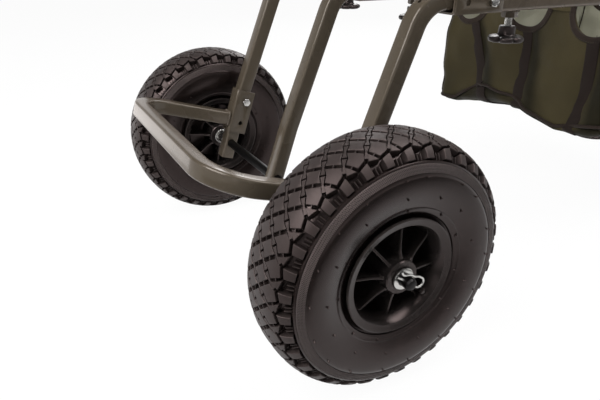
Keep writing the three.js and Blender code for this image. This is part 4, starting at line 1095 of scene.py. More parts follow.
def makeHandle(which):
    rise = math.radians(handle["angle"])
    upward = Vector((0, math.cos(rise), math.sin(rise)))
    name = "push_handle_" + which
    low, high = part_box(name)
    x, half = (low.x + high.x) / 2, tube["size"] / 2
    z = low.z + half
    end = Vector((x, high.y - half * math.sin(rise), high.z - half * math.cos(rise)))
    bend = end - upward * ((end.z - z) / math.sin(rise))
    stations = route([(x, low.y, z), bend, end], [handle["bend"]], 16)
    finish(squareTube(name + "Tube", stations, alongX), "handle_" + which, name)
    gripHigh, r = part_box("handle_grip_" + which)[1], grip["radius"]
    tip = Vector((x, gripHigh.y - r * math.sin(rise), gripHigh.z - r * math.cos(rise)))
    piece = latheAlong("handleGrip" + which.capitalize(), gripProfile(half * 1.24), tip - upward * grip["length"],
                       upward, "grip", 64, 40)
    finish(piece, "handle_" + which, "handle_grip_" + which)


plug = {"head": 0.0022, "edge": 0.0007, "fit": 0.0008, "corner": 0.003}


def makePlug():
    low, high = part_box("centre_rail_plug")
    x, z = (low.x + high.x) / 2, (low.z + high.z) / 2
    size, seat = railTube["size"], high.y - plug["head"]
    stem = size - 2 * railTube["wall"] - plug["fit"]
    shapes = [sweepShape(straight((x, start, z), (x, end, z)), roundedOutline(width, width, corner), alongX)
              for start, end, width, corner in ((seat, high.y, size, railTube["corner"]),
                                                (low.y, seat, stem, plug["corner"]))]
    cap, inner = newPiece("plugHead", *shapes[0], "plastic"), newPiece("plugStem", *shapes[1], "plastic")
    softenEdges(cap, plug["edge"], 3)
    finish(joinPieces("centreRailPlug", [cap, inner]), "bed", "centre_rail_plug")


for which in sides:
    makeLeg(which)
for which in sides:
    makeHandle(which)
makePlug()
print("legs and handles made")


rim = {
    "seat": 0.051, "lip": 0.0597, "bore": 0.047, "hub": 0.0175, "hubHalf": 0.0378, "bush": 0.0085,
    "spokes": 8, "turn": -5.0, "web": 0.002, "axleBore": 0.0064, "ribCorner": 0.0016,
    # along a rib from the hub to the barrel: distance from the axle, half height, half thickness
    "rib": [(0.0150, 0.0335, 0.0022), (0.0176, 0.0332, 0.0021), (0.0190, 0.0322, 0.0017),
            (0.0225, 0.0306, 0.0015), (0.0290, 0.0290, 0.0014), (0.0380, 0.0278, 0.0014),
            (0.0450, 0.0268, 0.0014), (0.0468, 0.0264, 0.0017), (0.0487, 0.0258, 0.0022)],
    # the bowl of the mouth, from the rolled lip down into the barrel
    "mouth": [(0.0545, 0.0366), (0.0519, 0.0360), (0.0510, 0.0350), (0.0492, 0.0315), (0.0474, 0.0278),
              (0.0465, 0.0250)],
}


def mirrored(outline):
    # the half outline of a wheel part and its other half
    return outline + [(r, -x) for r, x in reversed(outline) if x > 1e-9]


def makeSpoke():
    # one rib, pointing along +Y from the hub to the barrel, wider where it joins them
    verts = []
    for reach, half, thick in rim["rib"]:
        outline = roundedOutline(2 * half, 2 * thick, min(thick, rim["ribCorner"]) * 0.95, 3)
        verts += [(a, reach, b) for a, b in outline]
    faces = ringFaces(len(rim["rib"]), len(outline), capped=True)
    return newPiece("rimSpokes", verts, faces, "plastic", 30)


def makeRim(which, sign):
    centre = (sign * wheelX, axleY, axleZ)
    seat, lip, bore, hub, bush, half = [rim[key] for key in ("seat", "lip", "bore", "hub", "bush", "hubHalf")]
    # outside of the barrel from the middle to the rolled lip, then back along its inside to the hub
    outline = [(seat - 0.0012, 0.0), (seat - 0.0012, 0.018), (seat, 0.0195), (seat, 0.0284),
               (seat + 0.0012, 0.0312), (seat + 0.0044, 0.0338), (lip - 0.0014, 0.0346), (lip - 0.0003, 0.0352),
               (lip, 0.0361), (lip - 0.0004, 0.0374), (lip - 0.0014, 0.0379), (lip - 0.0026, 0.0376),
               *rim["mouth"], (bore - 0.0010, 0.0200), (bore - 0.0012, 0.0120), (bore - 0.0018, 0.0044),
               (bore - 0.0036, rim["web"]), (hub + 0.0060, rim["web"]), (hub + 0.0026, 0.0036),
               (hub + 0.0012, 0.0075), (hub, 0.0340), (hub - 0.0002, 0.0366), (hub - 0.0012, half),
               (bush + 0.0030, half), (bush + 0.0022, half - 0.0010), (bush + 0.0004, half - 0.0010)]
    body = latheX("rimBody", mirrored(outline), centre, "plastic", 128, 30)
    spokes = copyRound(makeSpoke(), centre, rim["spokes"], math.radians(rim["turn"]), "plastic", 1)
    smoothBy(spokes.data, 30)
    finish(joinPieces("rim" + which.capitalize(), [body, spokes]), "wheel_" + which, "rim_" + which)
    sleeve = [(rim["axleBore"], 0.0), (rim["axleBore"], half - 0.0004), (rim["axleBore"] + 0.0004, half),
              (bush - 0.0004, half), (bush, half - 0.0005)]
    bushPiece = latheX("hubBush" + which.capitalize(), mirrored(sleeve), centre, "zinc", 48, 30)
    finish(bushPiece, "wheel_" + which, "hub_bush_" + which)


valve = {"turn": -42.0, "radius": 0.0034, "offset": 0.012, "tip": 0.034, "elbow": 0.0430, "bend": 0.0045,
         "cap": 0.0102, "tubeAcross": 0.0225}


def makeInnerTube(which, sign):
    low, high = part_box("inner_tube_" + which)
    centre = Vector((sign * wheelX, axleY, axleZ))
    outer, inner = (high.z - low.z) / 2, rim["seat"] + 0.0006
    middle, reach = (outer + inner) / 2, (outer - inner) / 2
    ring = [(middle + reach * a, valve["tubeAcross"] * b) for a, b in circleOutline(1, 24)]
    air = latheX("airTube", ring, centre, "grip", 96, 60)
    angle = math.radians(valve["turn"])
    radial, outward = Vector((0, math.cos(angle), math.sin(angle))), alongX * sign
    start, r, tall = centre + outward * valve["offset"], valve["radius"], valve["cap"]
    elbow = centre + radial * valve["elbow"]
    stations = route([start + radial * (middle - 0.004), start + radial * valve["elbow"],
                      elbow + outward * (valve["tip"] - 0.010)], [valve["bend"]], 8)
    shape = sweepShape(stations, circleOutline(r - 0.0004, 24), radial.cross(outward))
    stem = newPiece("valveStem", *shape, "grip", 40)
    cap = latheAlong("valveCap", [(0, 0), (r - 0.0003, 0), (r, 0.0004), (r, 0.0016), (r - 0.0003, 0.0019),
                                  (r - 0.0003, 0.0078), (r - 0.0008, 0.0094), (r - 0.0018, tall), (0, tall)],
                     elbow + outward * (valve["tip"] - tall), outward, "plastic")
    finish(joinPieces("innerTube" + which.capitalize(), [air, stem, cap]), "wheel_" + which,
           "inner_tube_" + which)


tread = {
    "radius": 0.130, "waist": 0.092, "width": 0.085, "power": 2.7, "pitches": 35, "row": 0.0136,
    "groove": 0.0017, "slot": 0.0030, "slotLength": 0.0020, "neck": 0.0007, "sipe": 0.0009, "tie": 0.0008,
    "depth": 0.0032, "bevel": 0.0004, "lugEdge": 0.031, "lugFoot": 0.1145, "lugHalf": 0.28, "lugDepth": 0.0040,
    "cutReach": 0.0084, "cutShare": 0.25, "lugGap": 0.35, "edgeGap": 0.0012, "startAngle": 3.67,
    # the casing goes this deep below the groove floor; ties and tongues stay this far under the top
    "root": 0.0008, "tieDrop": 0.0002, "tieReach": 0.0004,
    "fin": 0.0009, "finHeight": 0.0008, "finReach": 0.62, "finPlaces": (-0.10, 0.08),
    "slice": 0.0037,
}


def skinTable():
    # the tyre's outer line from its middle to its waist, by the distance along it
    x = np.linspace(0, 1, 4001) ** 0.6 * tread["width"] / 2
    x[-1] = tread["width"] / 2
    height = tread["radius"] - tread["waist"]
    share = np.clip(1 - (x / (tread["width"] / 2)) ** tread["power"], 0, 1)
    r = tread["waist"] + height * share ** (1 / tread["power"])
    along = np.concatenate([[0], np.cumsum(np.hypot(np.diff(x), np.diff(r)))])
    return along, x, r


skinAlong, skinX, skinR = skinTable()


def skinPlace(u, h):
    # u: signed distance along the skin from the middle; h: height over the groove floor
    a = np.abs(u)
    x, r = np.interp(a, skinAlong, skinX), np.interp(a, skinAlong, skinR)
    step = 0.0004
    dx = np.interp(a + step, skinAlong, skinX) - np.interp(np.maximum(a - step, 0), skinAlong, skinX)
    dr = np.interp(a + step, skinAlong, skinR) - np.interp(np.maximum(a - step, 0), skinAlong, skinR)
    size = np.maximum(np.hypot(dx, dr), 1e-9)
    nx, nr = -dr / size, dx / size
    sunk = tread["depth"] - h
    return np.sign(u + 1e-12) * (x - nx * sunk), r - nr * sunk


def alongEdge(a, b):
    # an edge's direction and the direction to its left
    heading = np.subtract(b, a) / np.linalg.norm(np.subtract(b, a))
    return heading, np.array([-heading[1], heading[0]])


def shrunk(points, inset):
    # an anticlockwise outline drawn in all round
    lines = []
    for i, point in enumerate(points):
        heading, inward = alongEdge(point, points[(i + 1) % len(points)])
        lines.append((np.array(point) + inward * inset, heading))
    corners = []
    for (p, d), (q, e) in zip([lines[-1], *lines], lines):
        t = ((q[0] - p[0]) * e[1] - (q[1] - p[1]) * e[0]) / (d[0] * e[1] - d[1] * e[0])
        corners.append(p + d * t)
    return corners


def blockOutline(points, waisted, inset, drawn):
    # a block's outline drawn in; a waisted edge gives way at its middle, where the groove has its slot
    outline = []
    for i, corner in enumerate(shrunk(points, inset + drawn)):
        outline.append(corner)
        if waisted[i]:
            a, b = points[i], points[(i + 1) % len(points)]
            outline.append(np.add(a, b) / 2 + alongEdge(a, b)[1] * (tread["slot"] + drawn))
    return outline


def addBlock(work, points, waisted, top, inset, base):
    draft = tread["groove"] * 0.15
    levels = [(base, -draft), (top - tread["bevel"], draft), (top, draft + tread["bevel"])]
    if inset == 0:
        levels = [(base, 0.0), (top - 0.0001, 0.0), (top, 0.0001)]
    verts = [work.verts.new((*spot, height)) for height, drawn in levels
             for spot in blockOutline(points, waisted, inset, drawn)]
    count = len(verts) // len(levels)
    for face in [*ringFaces(len(levels), count), range(count)[::-1], range(2 * count, 3 * count)]:
        work.faces.new([verts[i] for i in face])


def sliceBlock(work, pitch):
    # cuts it finely enough to follow the tyre's curve
    for step, plane, cuts in ((tread["slice"], (1, 0, 0), range(-14, 15)), (pitch / 4, (0, 1, 0), range(-6, 9))):
        for cut in cuts:
            bmesh.ops.bisect_plane(work, geom=work.verts[:] + work.edges[:] + work.faces[:],
                                   plane_co=Vector(plane) * (cut * step), plane_no=plane)


def bridge(start, toward, share, near, far):
    # a raised piece in a groove, from start towards a point, near and far are its half widths
    across = alongEdge(start, toward)[1]
    end = start + (toward - start) * share
    return [start - across * near, end - across * far, end + across * far, start + across * near]


def treadBlocks(pitch):
    # each block as its outline, which edges have a slot, its top, the gap round it and its base
    half, inner, edge = [float(np.interp(x, skinX, skinAlong))
                         for x in (0.5 * tread["row"], 1.5 * tread["row"], tread["lugEdge"])]
    foot = float(np.interp(-tread["lugFoot"], -skinR, skinAlong))
    lug, cut, share = tread["lugHalf"], inner + tread["cutReach"], tread["cutShare"]
    top, gap, root = tread["depth"], tread["groove"], -tread["root"]
    deep, low, rib, past = root - tread["lugDepth"], top - tread["tieDrop"], gap * tread["lugGap"], tread["edgeGap"]

    def flat(u, w):
        # w counts pitches along the tread
        return np.array([u, w * pitch])

    outlines = [
        ([(half, 0.5), (inner, 0), (edge, lug), (cut, 1 - share), (inner, 1)], [True] + [False] * 4, gap, deep),
        ([(-half, 0), (half, -0.5), (inner, 0), (half, 0.5)], [True, False] * 2, gap, root),
        ([(inner, 0), (cut + past, -share), (edge + past, lug)], [False] * 3, rib, deep),
        ([(cut, 1 - share), (edge, lug), (foot, lug), (foot, 1 - lug)], [False] * 4, rib, deep),
    ]
    blocks = [([flat(*p) for p in points], waisted, top, around, base) for points, waisted, around, base in outlines]
    thin, raised = tread["fin"] / 2, []
    for w in tread["finPlaces"]:
        fin = bridge(flat(foot, w), flat(edge, w), tread["finReach"], thin, thin)
        raised.append((fin, tread["finHeight"], deep))
    # the tongues that run from each crossing to the slots, and the ties over the other grooves
    slotShare = 0.5 - tread["slotLength"] / 2 / math.hypot(2 * half, pitch / 2)
    for start, toward, reach in (((half, 0.5), (inner, 0), slotShare), ((half, 0.5), (-half, 1), slotShare),
                                 ((inner, 0), (half, 0.5), slotShare), ((inner, 0), (cut, -share), 0.72)):
        tongue = bridge(flat(*start), flat(*toward), reach, tread["neck"], tread["slot"] - tread["sipe"])
        raised.append((tongue, low, root))
    thin = tread["tie"] / 2
    for first, second in (((half, 0.5), (inner, 1)), ((-half, 0), (half, 0.5)), ((inner, 0), (edge, lug))):
        first, second = flat(*first), flat(*second)
        middle, across = (first + second) / 2, alongEdge(first, second)[1] * (gap + tread["tieReach"])
        raised.append((bridge(middle - across, middle + across, 1.0, thin, thin), low, root))
    return blocks + [(points, [False] * 4, height, 0, base) for points, height, base in raised]


def makeTreadPitch():
    # one pitch of tread laid out flat, x across the tyre along its skin and y along the tread, then bent round
    pitch = 2 * math.pi * tread["radius"] / tread["pitches"]
    work, whole = bmesh.new(), bmesh.new()
    for side in (1, -1):
        shift = 0 if side > 0 else pitch / 2
        for points, waisted, top, gap, base in treadBlocks(pitch):
            work.clear()
            flat = [(side * u, shift - side * w) for u, w in points]
            if sum(a[0] * b[1] - b[0] * a[1] for a, b in zip(flat, flat[1:] + flat[:1])) < 0:
                flat, waisted = flat[::-1], waisted[-2::-1] + waisted[-1:]
            addBlock(work, flat, waisted, top, gap, base)
            if gap:
                sliceBlock(work, pitch)
            part = bpy.data.meshes.new("block")
            work.to_mesh(part)
            whole.from_mesh(part)
            bpy.data.meshes.remove(part)
    places = np.array([v.co for v in whole.verts])
    x, r = skinPlace(places[:, 0], places[:, 2])
    for vert, vx, vr, angle in zip(whole.verts, x, r, places[:, 1] / tread["radius"]):
        vert.co = (vx, vr * math.cos(angle), vr * math.sin(angle))
    mesh = bpy.data.meshes.new("treadPitch")
    whole.to_mesh(mesh)
    whole.free()
    work.free()
    print("tread pitch", len(mesh.polygons), "faces")
    return mesh


treadPitchMesh = makeTreadPitch()


sideWall = {
    "floorSteps": 34,
    # radius and distance off the skin: the ledge below the lugs, one ring line, and the wall under the ring
    "ledge": [(0.1130, -0.0034), (0.1128, -0.0014), (0.1122, -0.0010), (0.1112, -0.0010)],
    "ringLine": [(0.0003, -0.0014), (0.0, -0.0007), (-0.0004, -0.0007), (-0.0007, -0.0014)],
    "rings": 6, "firstRing": 0.1104, "ringPitch": 0.0013,
    "under": [(0.1026, -0.0012), (0.1014, -0.0004), (0.0990, 0.0), (0.0960, 0.0)],
    # radius and distance in from the widest place, down to the bead
    "plain": [(0.0930, 0.0), (0.0890, 0.0002), (0.0850, 0.0008), (0.0810, 0.0018), (0.0770, 0.0031),
              (0.0730, 0.0046), (0.0700, 0.0058), (0.0692, 0.0055), (0.0684, 0.0062), (0.0660, 0.0070),
              (0.0640, 0.0076), (0.0632, 0.0084), (0.0628, 0.0094), (0.0600, 0.0108), (0.0545, 0.0130)],
    # the bead's foot and the inside, to the middle
    "inside": [(0.0514, 0.0284), (0.0514, 0.0206), (0.0560, 0.0220), (0.0700, 0.0300), (0.0920, 0.0340),
               (0.1090, 0.0280), (0.1180, 0.0120), (0.1188, 0.0)],
    # rings of vent stubs that the mould leaves: radius, distance in, how many, turn
    "stubs": [(0.1000, 0.0, 18, 0.11), (0.0810, 0.0018, 13, 0.4), (0.0670, 0.0066, 11, 0.7)], "stubWobble": 0.09,
    "stub": [(0.0010, -0.0006), (0.0009, 0.0008), (0.0006, 0.0016), (0.0005, 0.0022), (0, 0.0024)],
}


def onSkin(r, out=0.0):
    return (r, float(np.interp(-r, -skinR, skinX)) + out)


def casingOutline():
    # one half, from the middle of the groove floor round the side wall and back inside
    foot = float(np.interp(-tread["lugFoot"], -skinR, skinAlong))
    cut = float(np.interp(1.5 * tread["row"], skinX, skinAlong)) + tread["cutReach"]
    outline = []
    for u in np.linspace(0, foot, sideWall["floorSteps"]):
        sunk = tread["lugDepth"] * min(max((u - cut + 0.003) / 0.004, 0), 1)
        x, r = skinPlace(np.array([u]), np.array([-sunk]))
        outline.append((float(r[0]), float(x[0])))
    outline += [onSkin(*spot) for spot in sideWall["ledge"]]
    for i in range(sideWall["rings"]):
        ring = sideWall["firstRing"] - i * sideWall["ringPitch"]
        outline += [onSkin(ring + step, out) for step, out in sideWall["ringLine"]]
    outline += [onSkin(*spot) for spot in sideWall["under"]]
    return outline + [(r, tread["width"] / 2 - back) for r, back in sideWall["plain"]] + sideWall["inside"]


def makeTyre(which, sign):
    centre = Vector((sign * wheelX, axleY, axleZ))
    rubberName = "tyre" + which
    casing = latheX("tyreCasing", mirrored(casingOutline()), centre, rubberName, 176, 34)
    blocks = newObject("treadBlocks", treadPitchMesh.copy())
    if sign < 0:
        blocks.data.transform(Matrix.Rotation(math.pi, 4, "Y"))
        blocks.data.transform(Matrix.Rotation(math.pi, 4, "X"))
    copyRound(blocks, centre, tread["pitches"], math.radians(tread["startAngle"]), "tread", 2)
    smoothBy(blocks.data, 28)
    pieces = [casing, blocks]
    for way in (1, -1):
        for r, back, many, turn in sideWall["stubs"]:
            nub = latheAlong("ventStub", sideWall["stub"], (way * onSkin(r, -back)[1], r, 0),
                             Vector((way, 0.35, 0.2)), rubberName, 8, 60)
            pieces.append(copyRound(nub, centre, many, turn * (way + 2), rubberName, 5 + many,
                                    sideWall["stubWobble"]))
    finish(joinPieces("tyre" + which.capitalize(), pieces), "wheel_" + which, "tyre_" + which)


for which, sign in sides.items():
    makeRim(which, sign)
    makeInnerTube(which, sign)
    makeTyre(which, sign)
print("wheels made")


bag = {
    "wall": 0.0013, "corner": 0.014, "sag": 0.006, "folds": 0.0070, "wrinkles": 0.0022, "belly": 0.0085,
    "narrow": ([0.150, 0.181, 0.207, 0.251, 0.299, 0.342], [0.022, 0.011, 0.006, 0.005, 0.007, 0.0]),
    "pulled": (-0.085, 0.010, 0.124),
    "windowWidth": 0.076, "windowDrop": 0.050, "windowPitch": 0.118, "binding": 0.009, "bindingThick": 0.0034,
    "piping": 0.0024, "webbing": 0.019, "webbingThick": 0.0015, "bulge": 0.009,
    "roll": 0.30, "hang": 0.1500,  # how far under the edge rolls round, and the bottom's height
    "turnShare": 0.72, "turnHeight": 0.185,  # where along its length, and how high, the webbing turns under
    "strapPlaces": (-0.110, -0.045, 0.070, 0.125), "stitchPitch": 0.0034, "stitch": (0.00035, 0.00035, 0.0012),
    "webbingTop": (-0.102, 0.0, 0.122), "webbingDrift": (0.047, 0.022, 0.006),
    # the seam over the bottom panel and the bottom's underside along the front, across the bag
    "seamAcross": [-0.170, -0.132, -0.077, -0.050, 0.008, 0.037, 0.102, 0.156, 0.170],
    "seamHeight": [0.158, 0.160, 0.192, 0.195, 0.189, 0.178, 0.164, 0.178, 0.182],
    "lowAcross": [-0.170, -0.138, -0.122, -0.087, -0.068, -0.021, 0.020, 0.060, 0.098, 0.159, 0.170],
    "lowHeight": [0.150, 0.150, 0.157, 0.159, 0.159, 0.169, 0.168, 0.160, 0.154, 0.156, 0.160],
}
bagLow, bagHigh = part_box("undercarriage_bag")
bagHalfX, bagHalfY = (bagHigh.x - bagLow.x) / 2 - 0.001, (bagHigh.y - bagLow.y) / 2 - 0.001
bagMiddle = (bagLow.y + bagHigh.y) / 2


def bagPlace(flatX, flatY, outX, outY, level):
    # a point of the outside cloth; level 0 is the rim, 1 the bottom seam, 2 the bottom's middle
    front = max(0.0, min(1.0, (-flatY / bagHalfY + 0.2) / 1.2))
    seam = float(np.interp(flatX, bag["seamAcross"], bag["seamHeight"])) * front + (1 - front) * (
        0.176 + 0.008 * math.sin(flatX * 31) + 0.006 * math.sin(flatY * 27))
    low = float(np.interp(flatX, bag["lowAcross"], bag["lowHeight"])) * front + (1 - front) * (
        0.152 + 0.003 * math.sin(flatX * 44 + flatY * 31))
    noiseAt = Vector((flatX * 9, flatY * 9, min(level, 1.0) * 1.5))
    fold = noise.noise(noiseAt) * bag["folds"] + noise.noise(noiseAt * 4.3) * bag["wrinkles"]
    crease = noise.noise(Vector((flatX * 60, flatY * 60, level * 9))) * 0.0005
    if level <= 1:
        rimSag = bag["sag"] * 0.5 * (1 - math.cos(8 * math.pi * flatY / bagHalfY)) * (1 - abs(outY))
        top = bagHigh.z - 0.0006 - rimSag * 0.5
        z = top + (seam - top) * level
        ease = math.sin(math.pi * min(level * 1.3, 1) / 2)
        near = min(abs(flatX - x) for x in bag["pulled"])
        belly = bag["belly"] * (1 - math.exp(-(near / 0.022) ** 2)) * abs(outY)
        out = (fold * 1.6 + belly - 0.006) * ease + crease + 0.006 * level ** 4 * ease + bag["bulge"] * 0.3 * level ** 6
        slim = 1 - float(np.interp(z, *bag["narrow"])) / bagHalfX
        return Vector(((flatX + outX * out) * slim, bagMiddle + flatY + outY * out, z))
    under = level - 1
    turn = min(under / bag["roll"], 1.0)
    drop = math.sin(turn * math.pi / 2)
    z = seam + (low - seam) * drop
    out = (fold + bag["bulge"] * math.sin(math.pi * min(turn * 1.15, 1)) + bag["bulge"] * 0.3 * (1 - turn)
           - 0.020 * (1 - math.cos(turn * math.pi / 2)))
    x, y = flatX + outX * out, flatY + outY * out
    x *= 1 - float(np.interp(z, *bag["narrow"])) / bagHalfX
    if under > bag["roll"]:
        inward = (under - bag["roll"]) / (1 - bag["roll"])
        x, y = x * (1 - inward), y * (1 - inward)
        hang = bag["hang"] + 0.0030 * noise.noise(Vector((x * 14, y * 14, 3.0)))
        z += (hang - z) * min(1.0, inward * 1.8) + 0.0012 * noise.noise(Vector((x * 60, y * 60, 8.0)))
    return Vector((x, bagMiddle + y, z))


def bagPerimeter(across, along, cornerSteps):
    # points round the bag seen from above, each with its outward direction
    r = bag["corner"]
    points = []
    spans = [((bagHalfX, -bagHalfY + r), (bagHalfX, bagHalfY - r), (1, 0), along),
             ((bagHalfX - r, bagHalfY), (-bagHalfX + r, bagHalfY), (0, 1), across),
             ((-bagHalfX, bagHalfY - r), (-bagHalfX, -bagHalfY + r), (-1, 0), along),
             ((-bagHalfX + r, -bagHalfY), (bagHalfX - r, -bagHalfY), (0, -1), across)]
    for start, end, out, steps in spans:
        for i in range(steps):
            share = i / steps
            points.append((start[0] + (end[0] - start[0]) * share, start[1] + (end[1] - start[1]) * share, *out))
        centre = (end[0] - out[0] * r, end[1] - out[1] * r)
        for i in range(cornerSteps):
            angle = math.atan2(out[1], out[0]) + math.pi / 2 * i / cornerSteps
            outX, outY = math.cos(angle), math.sin(angle)
            points.append((centre[0] + outX * r, centre[1] + outY * r, outX, outY))
    return points


def makeBagShell():
    around = bagPerimeter(72, 76, 6)
    # down the sides, over the bottom seam, and in to the middle of the bottom
    levels = ([i / 34 for i in range(34)] + [1 + i / 40 for i in range(13)]
              + [1.3 + 0.7 * i / 22 for i in range(1, 22)])
    count = len(around)
    outer = [bagPlace(*spot, level) for level in levels for spot in around]
    outer.append(sum(outer[-count:], Vector()) / count)
    total = len(outer)
    bottom = total - 1
    faces = ringFaces(len(levels), count)
    faces += [(bottom - count + i, bottom - count + (i + 1) % count, bottom) for i in range(count)]
    work = bmesh.new()
    verts = [work.verts.new(place) for place in outer]
    for face in faces:
        work.faces.new([verts[i] for i in face])
    work.normal_update()
    way = 1 if verts[10 + 17 * count].normal.x > 0 else -1
    inner = [v.co - v.normal * way * bag["wall"] for v in verts]
    work.free()
    for i in range(count):
        inner[i].z = outer[i].z
    shell = faces + [tuple(total + i for i in reversed(f)) for f in faces]
    shell += [(i, i + total, (i + 1) % count + total, (i + 1) % count) for i in range(count)]
    obj = newPiece("bagShell", outer + inner, shell, "olive", 60)
    obj.data.materials.append(materials["coated"])
    for face in obj.data.polygons:
        if min(face.vertices) >= total:
            face.material_index = 1
    cutters, above = [], bagHigh.z + 0.02
    for y in (bagLow.y, bagHigh.y):
        for k in (-1, 0, 1):
            line = windowLine(k, 0.0)
            outline = [*line, (line[-1][0], above), (line[0][0], above)]
            corners = [(x, y + reach, z) for reach in (-0.03, 0.03) for x, z in outline]
            cutters.append(newPiece("windowCut", corners, ringFaces(2, len(outline), capped=True), "olive", 30))
    cutHoles(obj, cutters)
    smoothBy(obj.data, 60)
    paintFoldShade(obj.data)
    return obj


def paintFoldShade(mesh):
    # how far each point of the cloth lies down in a fold, as painted shade: painted darker there, in noisy patches, and
    # under the front seam
    marks = mesh.attributes.new("crease", "FLOAT", "POINT")
    for vert, mark in zip(mesh.vertices, marks.data):
        x, y, z = vert.co
        drop = min(max((bagHigh.z - bag["windowDrop"] - z) / 0.115, 0), 1)
        fold = 0.20 - 0.6 * noise.noise(Vector((x * 17, y * 19, z * 12 + 4.0)))
        for line, drift in zip(bag["webbingTop"], bag["webbingDrift"]):
            # painted shade beside each webbing, where the cloth turns away, more so lower down
            aside = (x - line - drift * bag["turnShare"] * drop - 0.015 - 0.010 * drop) / (0.007 + 0.011 * drop)
            fold += 0.85 * math.exp(-aside * aside)
        # painted shade on the underside below the front seam
        front = float(np.interp(x, bag["seamAcross"], bag["seamHeight"]))
        under = min(max((front + 0.001 - z) / 0.006, 0), 1)
        mark.value = min(max(fold + 0.7 * under, 0), 1)


def windowLine(k, grow):
    # the U of a window: down, round and up again, as (x, z)
    half = bag["windowWidth"] / 2 + grow
    x = k * bag["windowPitch"]
    low = bagHigh.z - bag["windowDrop"] + bag["windowWidth"] / 2
    points = [(x - half, bagHigh.z)]
    points += [(x - half * math.cos(math.pi * i / 24), low - half * math.sin(math.pi * i / 24)) for i in range(25)]
    return points + [(x + half, bagHigh.z)]


def panelPoint(side, x, z):
    # a point of the front (-1) or rear (+1) panel at a given height
    low, high = 0.0, 1.0
    for _ in range(18):
        middle = (low + high) / 2
        if bagPlace(x, side * bagHalfY, 0, side, middle).z > z:
            low = middle
        else:
            high = middle
    return bagPlace(x, side * bagHalfY, 0, side, low)


def stationsOf(points):
    points = [Vector(p) for p in points]
    return [(p, (points[min(i + 1, len(points) - 1)] - points[max(i - 1, 0)]).normalized())
            for i, p in enumerate(points)]


def strip(name, points, normals, width, thick, material="webbing"):
    # flat webbing along a line, lying square to its normals, with rounded edges
    stations = stationsOf(points)
    outline = roundedOutline(width, thick, thick * 0.46, 2)
    verts = []
    for (place, heading), normal in zip(stations, normals):
        up = (Vector(normal) - heading * Vector(normal).dot(heading)).normalized()
        across = heading.cross(up)
        verts += [place + across * a + up * b for a, b in outline]
    return newPiece(name, verts, ringFaces(len(stations), len(outline), capped=True), material, 50)


def makeBagTrim():
    pieces, stitchLines = [], []
    out = Vector((0, 1, 0))
    for side in (-1, 1):
        normal = out * side
        for k in (-1, 0, 1):
            line = [panelPoint(side, x, z) for x, z in windowLine(k, 0.0030)]
            pieces.append(strip("windowBinding", line, [normal] * len(line), bag["binding"], bag["bindingThick"],
                                "binding"))
            stitchLines.append([panelPoint(side, x, z) + normal * 0.0019 for x, z in windowLine(k, 0.0058)])
            start, drift = (bag["webbingTop"][k + 1], bag["webbingDrift"][k + 1]) if side < 0 else (
                k * bag["windowPitch"], 0.0)
            low = bagHigh.z - bag["windowDrop"] - 0.003
            path = []
            for i in range(30):
                share = i / 29
                x = start + drift * share
                if share < bag["turnShare"]:
                    z = low + (bag["turnHeight"] - low) * share / bag["turnShare"]
                    path.append(panelPoint(side, x, z) + normal * 0.0010)
                else:
                    under = 1 + (share - bag["turnShare"]) * 1.7
                    path.append(bagPlace(x, side * bagHalfY, 0, side, under) + normal * 0.0012)
            normals = [normal] * 22 + [normal * (1 - i / 8) - alongZ * (i / 8) for i in range(1, 9)]
            pieces.append(strip("bagWebbing", path, normals, bag["webbing"], bag["webbingThick"]))
        edges = [-bagHalfX + 0.004, *[k * bag["windowPitch"] + way * bag["windowWidth"] / 2
                                      for k in (-1, 0, 1) for way in (-1, 1)], bagHalfX - 0.004]
        for start, end in zip(edges[::2], edges[1::2]):
            line = [panelPoint(side, start + (end - start) * i / 6, bagHigh.z - 0.0035) for i in range(7)]
            pieces.append(strip("rimBinding", line, [normal] * 7, bag["binding"], bag["bindingThick"], "binding"))
            if end - start > 0.03:
                pieces += makeTab(side, (start + end) / 2, end - start - 0.004)
    for side in (-1, 1):
        line = [bagPlace(side * bagHalfX, y, side, 0, 0.02)
                for y in np.linspace(-bagHalfY + 0.008, bagHalfY - 0.008, 60)]
        pieces.append(strip("rimBinding", line, [alongX * side] * 60, bag["binding"], bag["bindingThick"], "binding"))
        for y in bag["strapPlaces"]:
            pieces.append(makeRailStrap(side, y))
    around = bagPerimeter(48, 52, 8)
    seam = [bagPlace(*spot, 1.0) + Vector((spot[2], spot[3], 0)) * 0.0012 for spot in around]
    verts, faces = sweepShape(stationsOf(seam), circleOutline(bag["piping"], 10), alongZ, closed=True)
    pieces.append(newPiece("bottomPiping", verts, faces, "binding", 60))
    for x, y in ((1, 1), (1, -1), (-1, 1), (-1, -1)):
        r = bag["corner"] * 0.29
        line = [bagPlace(x * (bagHalfX - r), y * (bagHalfY - r), x * 0.7071, y * 0.7071, i / 24) for i in range(1, 26)]
        verts, faces = sweepShape(stationsOf(line), circleOutline(bag["piping"] * 0.9, 10), alongX)
        pieces.append(newPiece("cornerPiping", verts, faces, "binding", 60))
    pieces.append(lumpLine("bagStitches", stitchLines, bag["stitchPitch"], bag["stitch"], "stitch", 0.1))
    return pieces


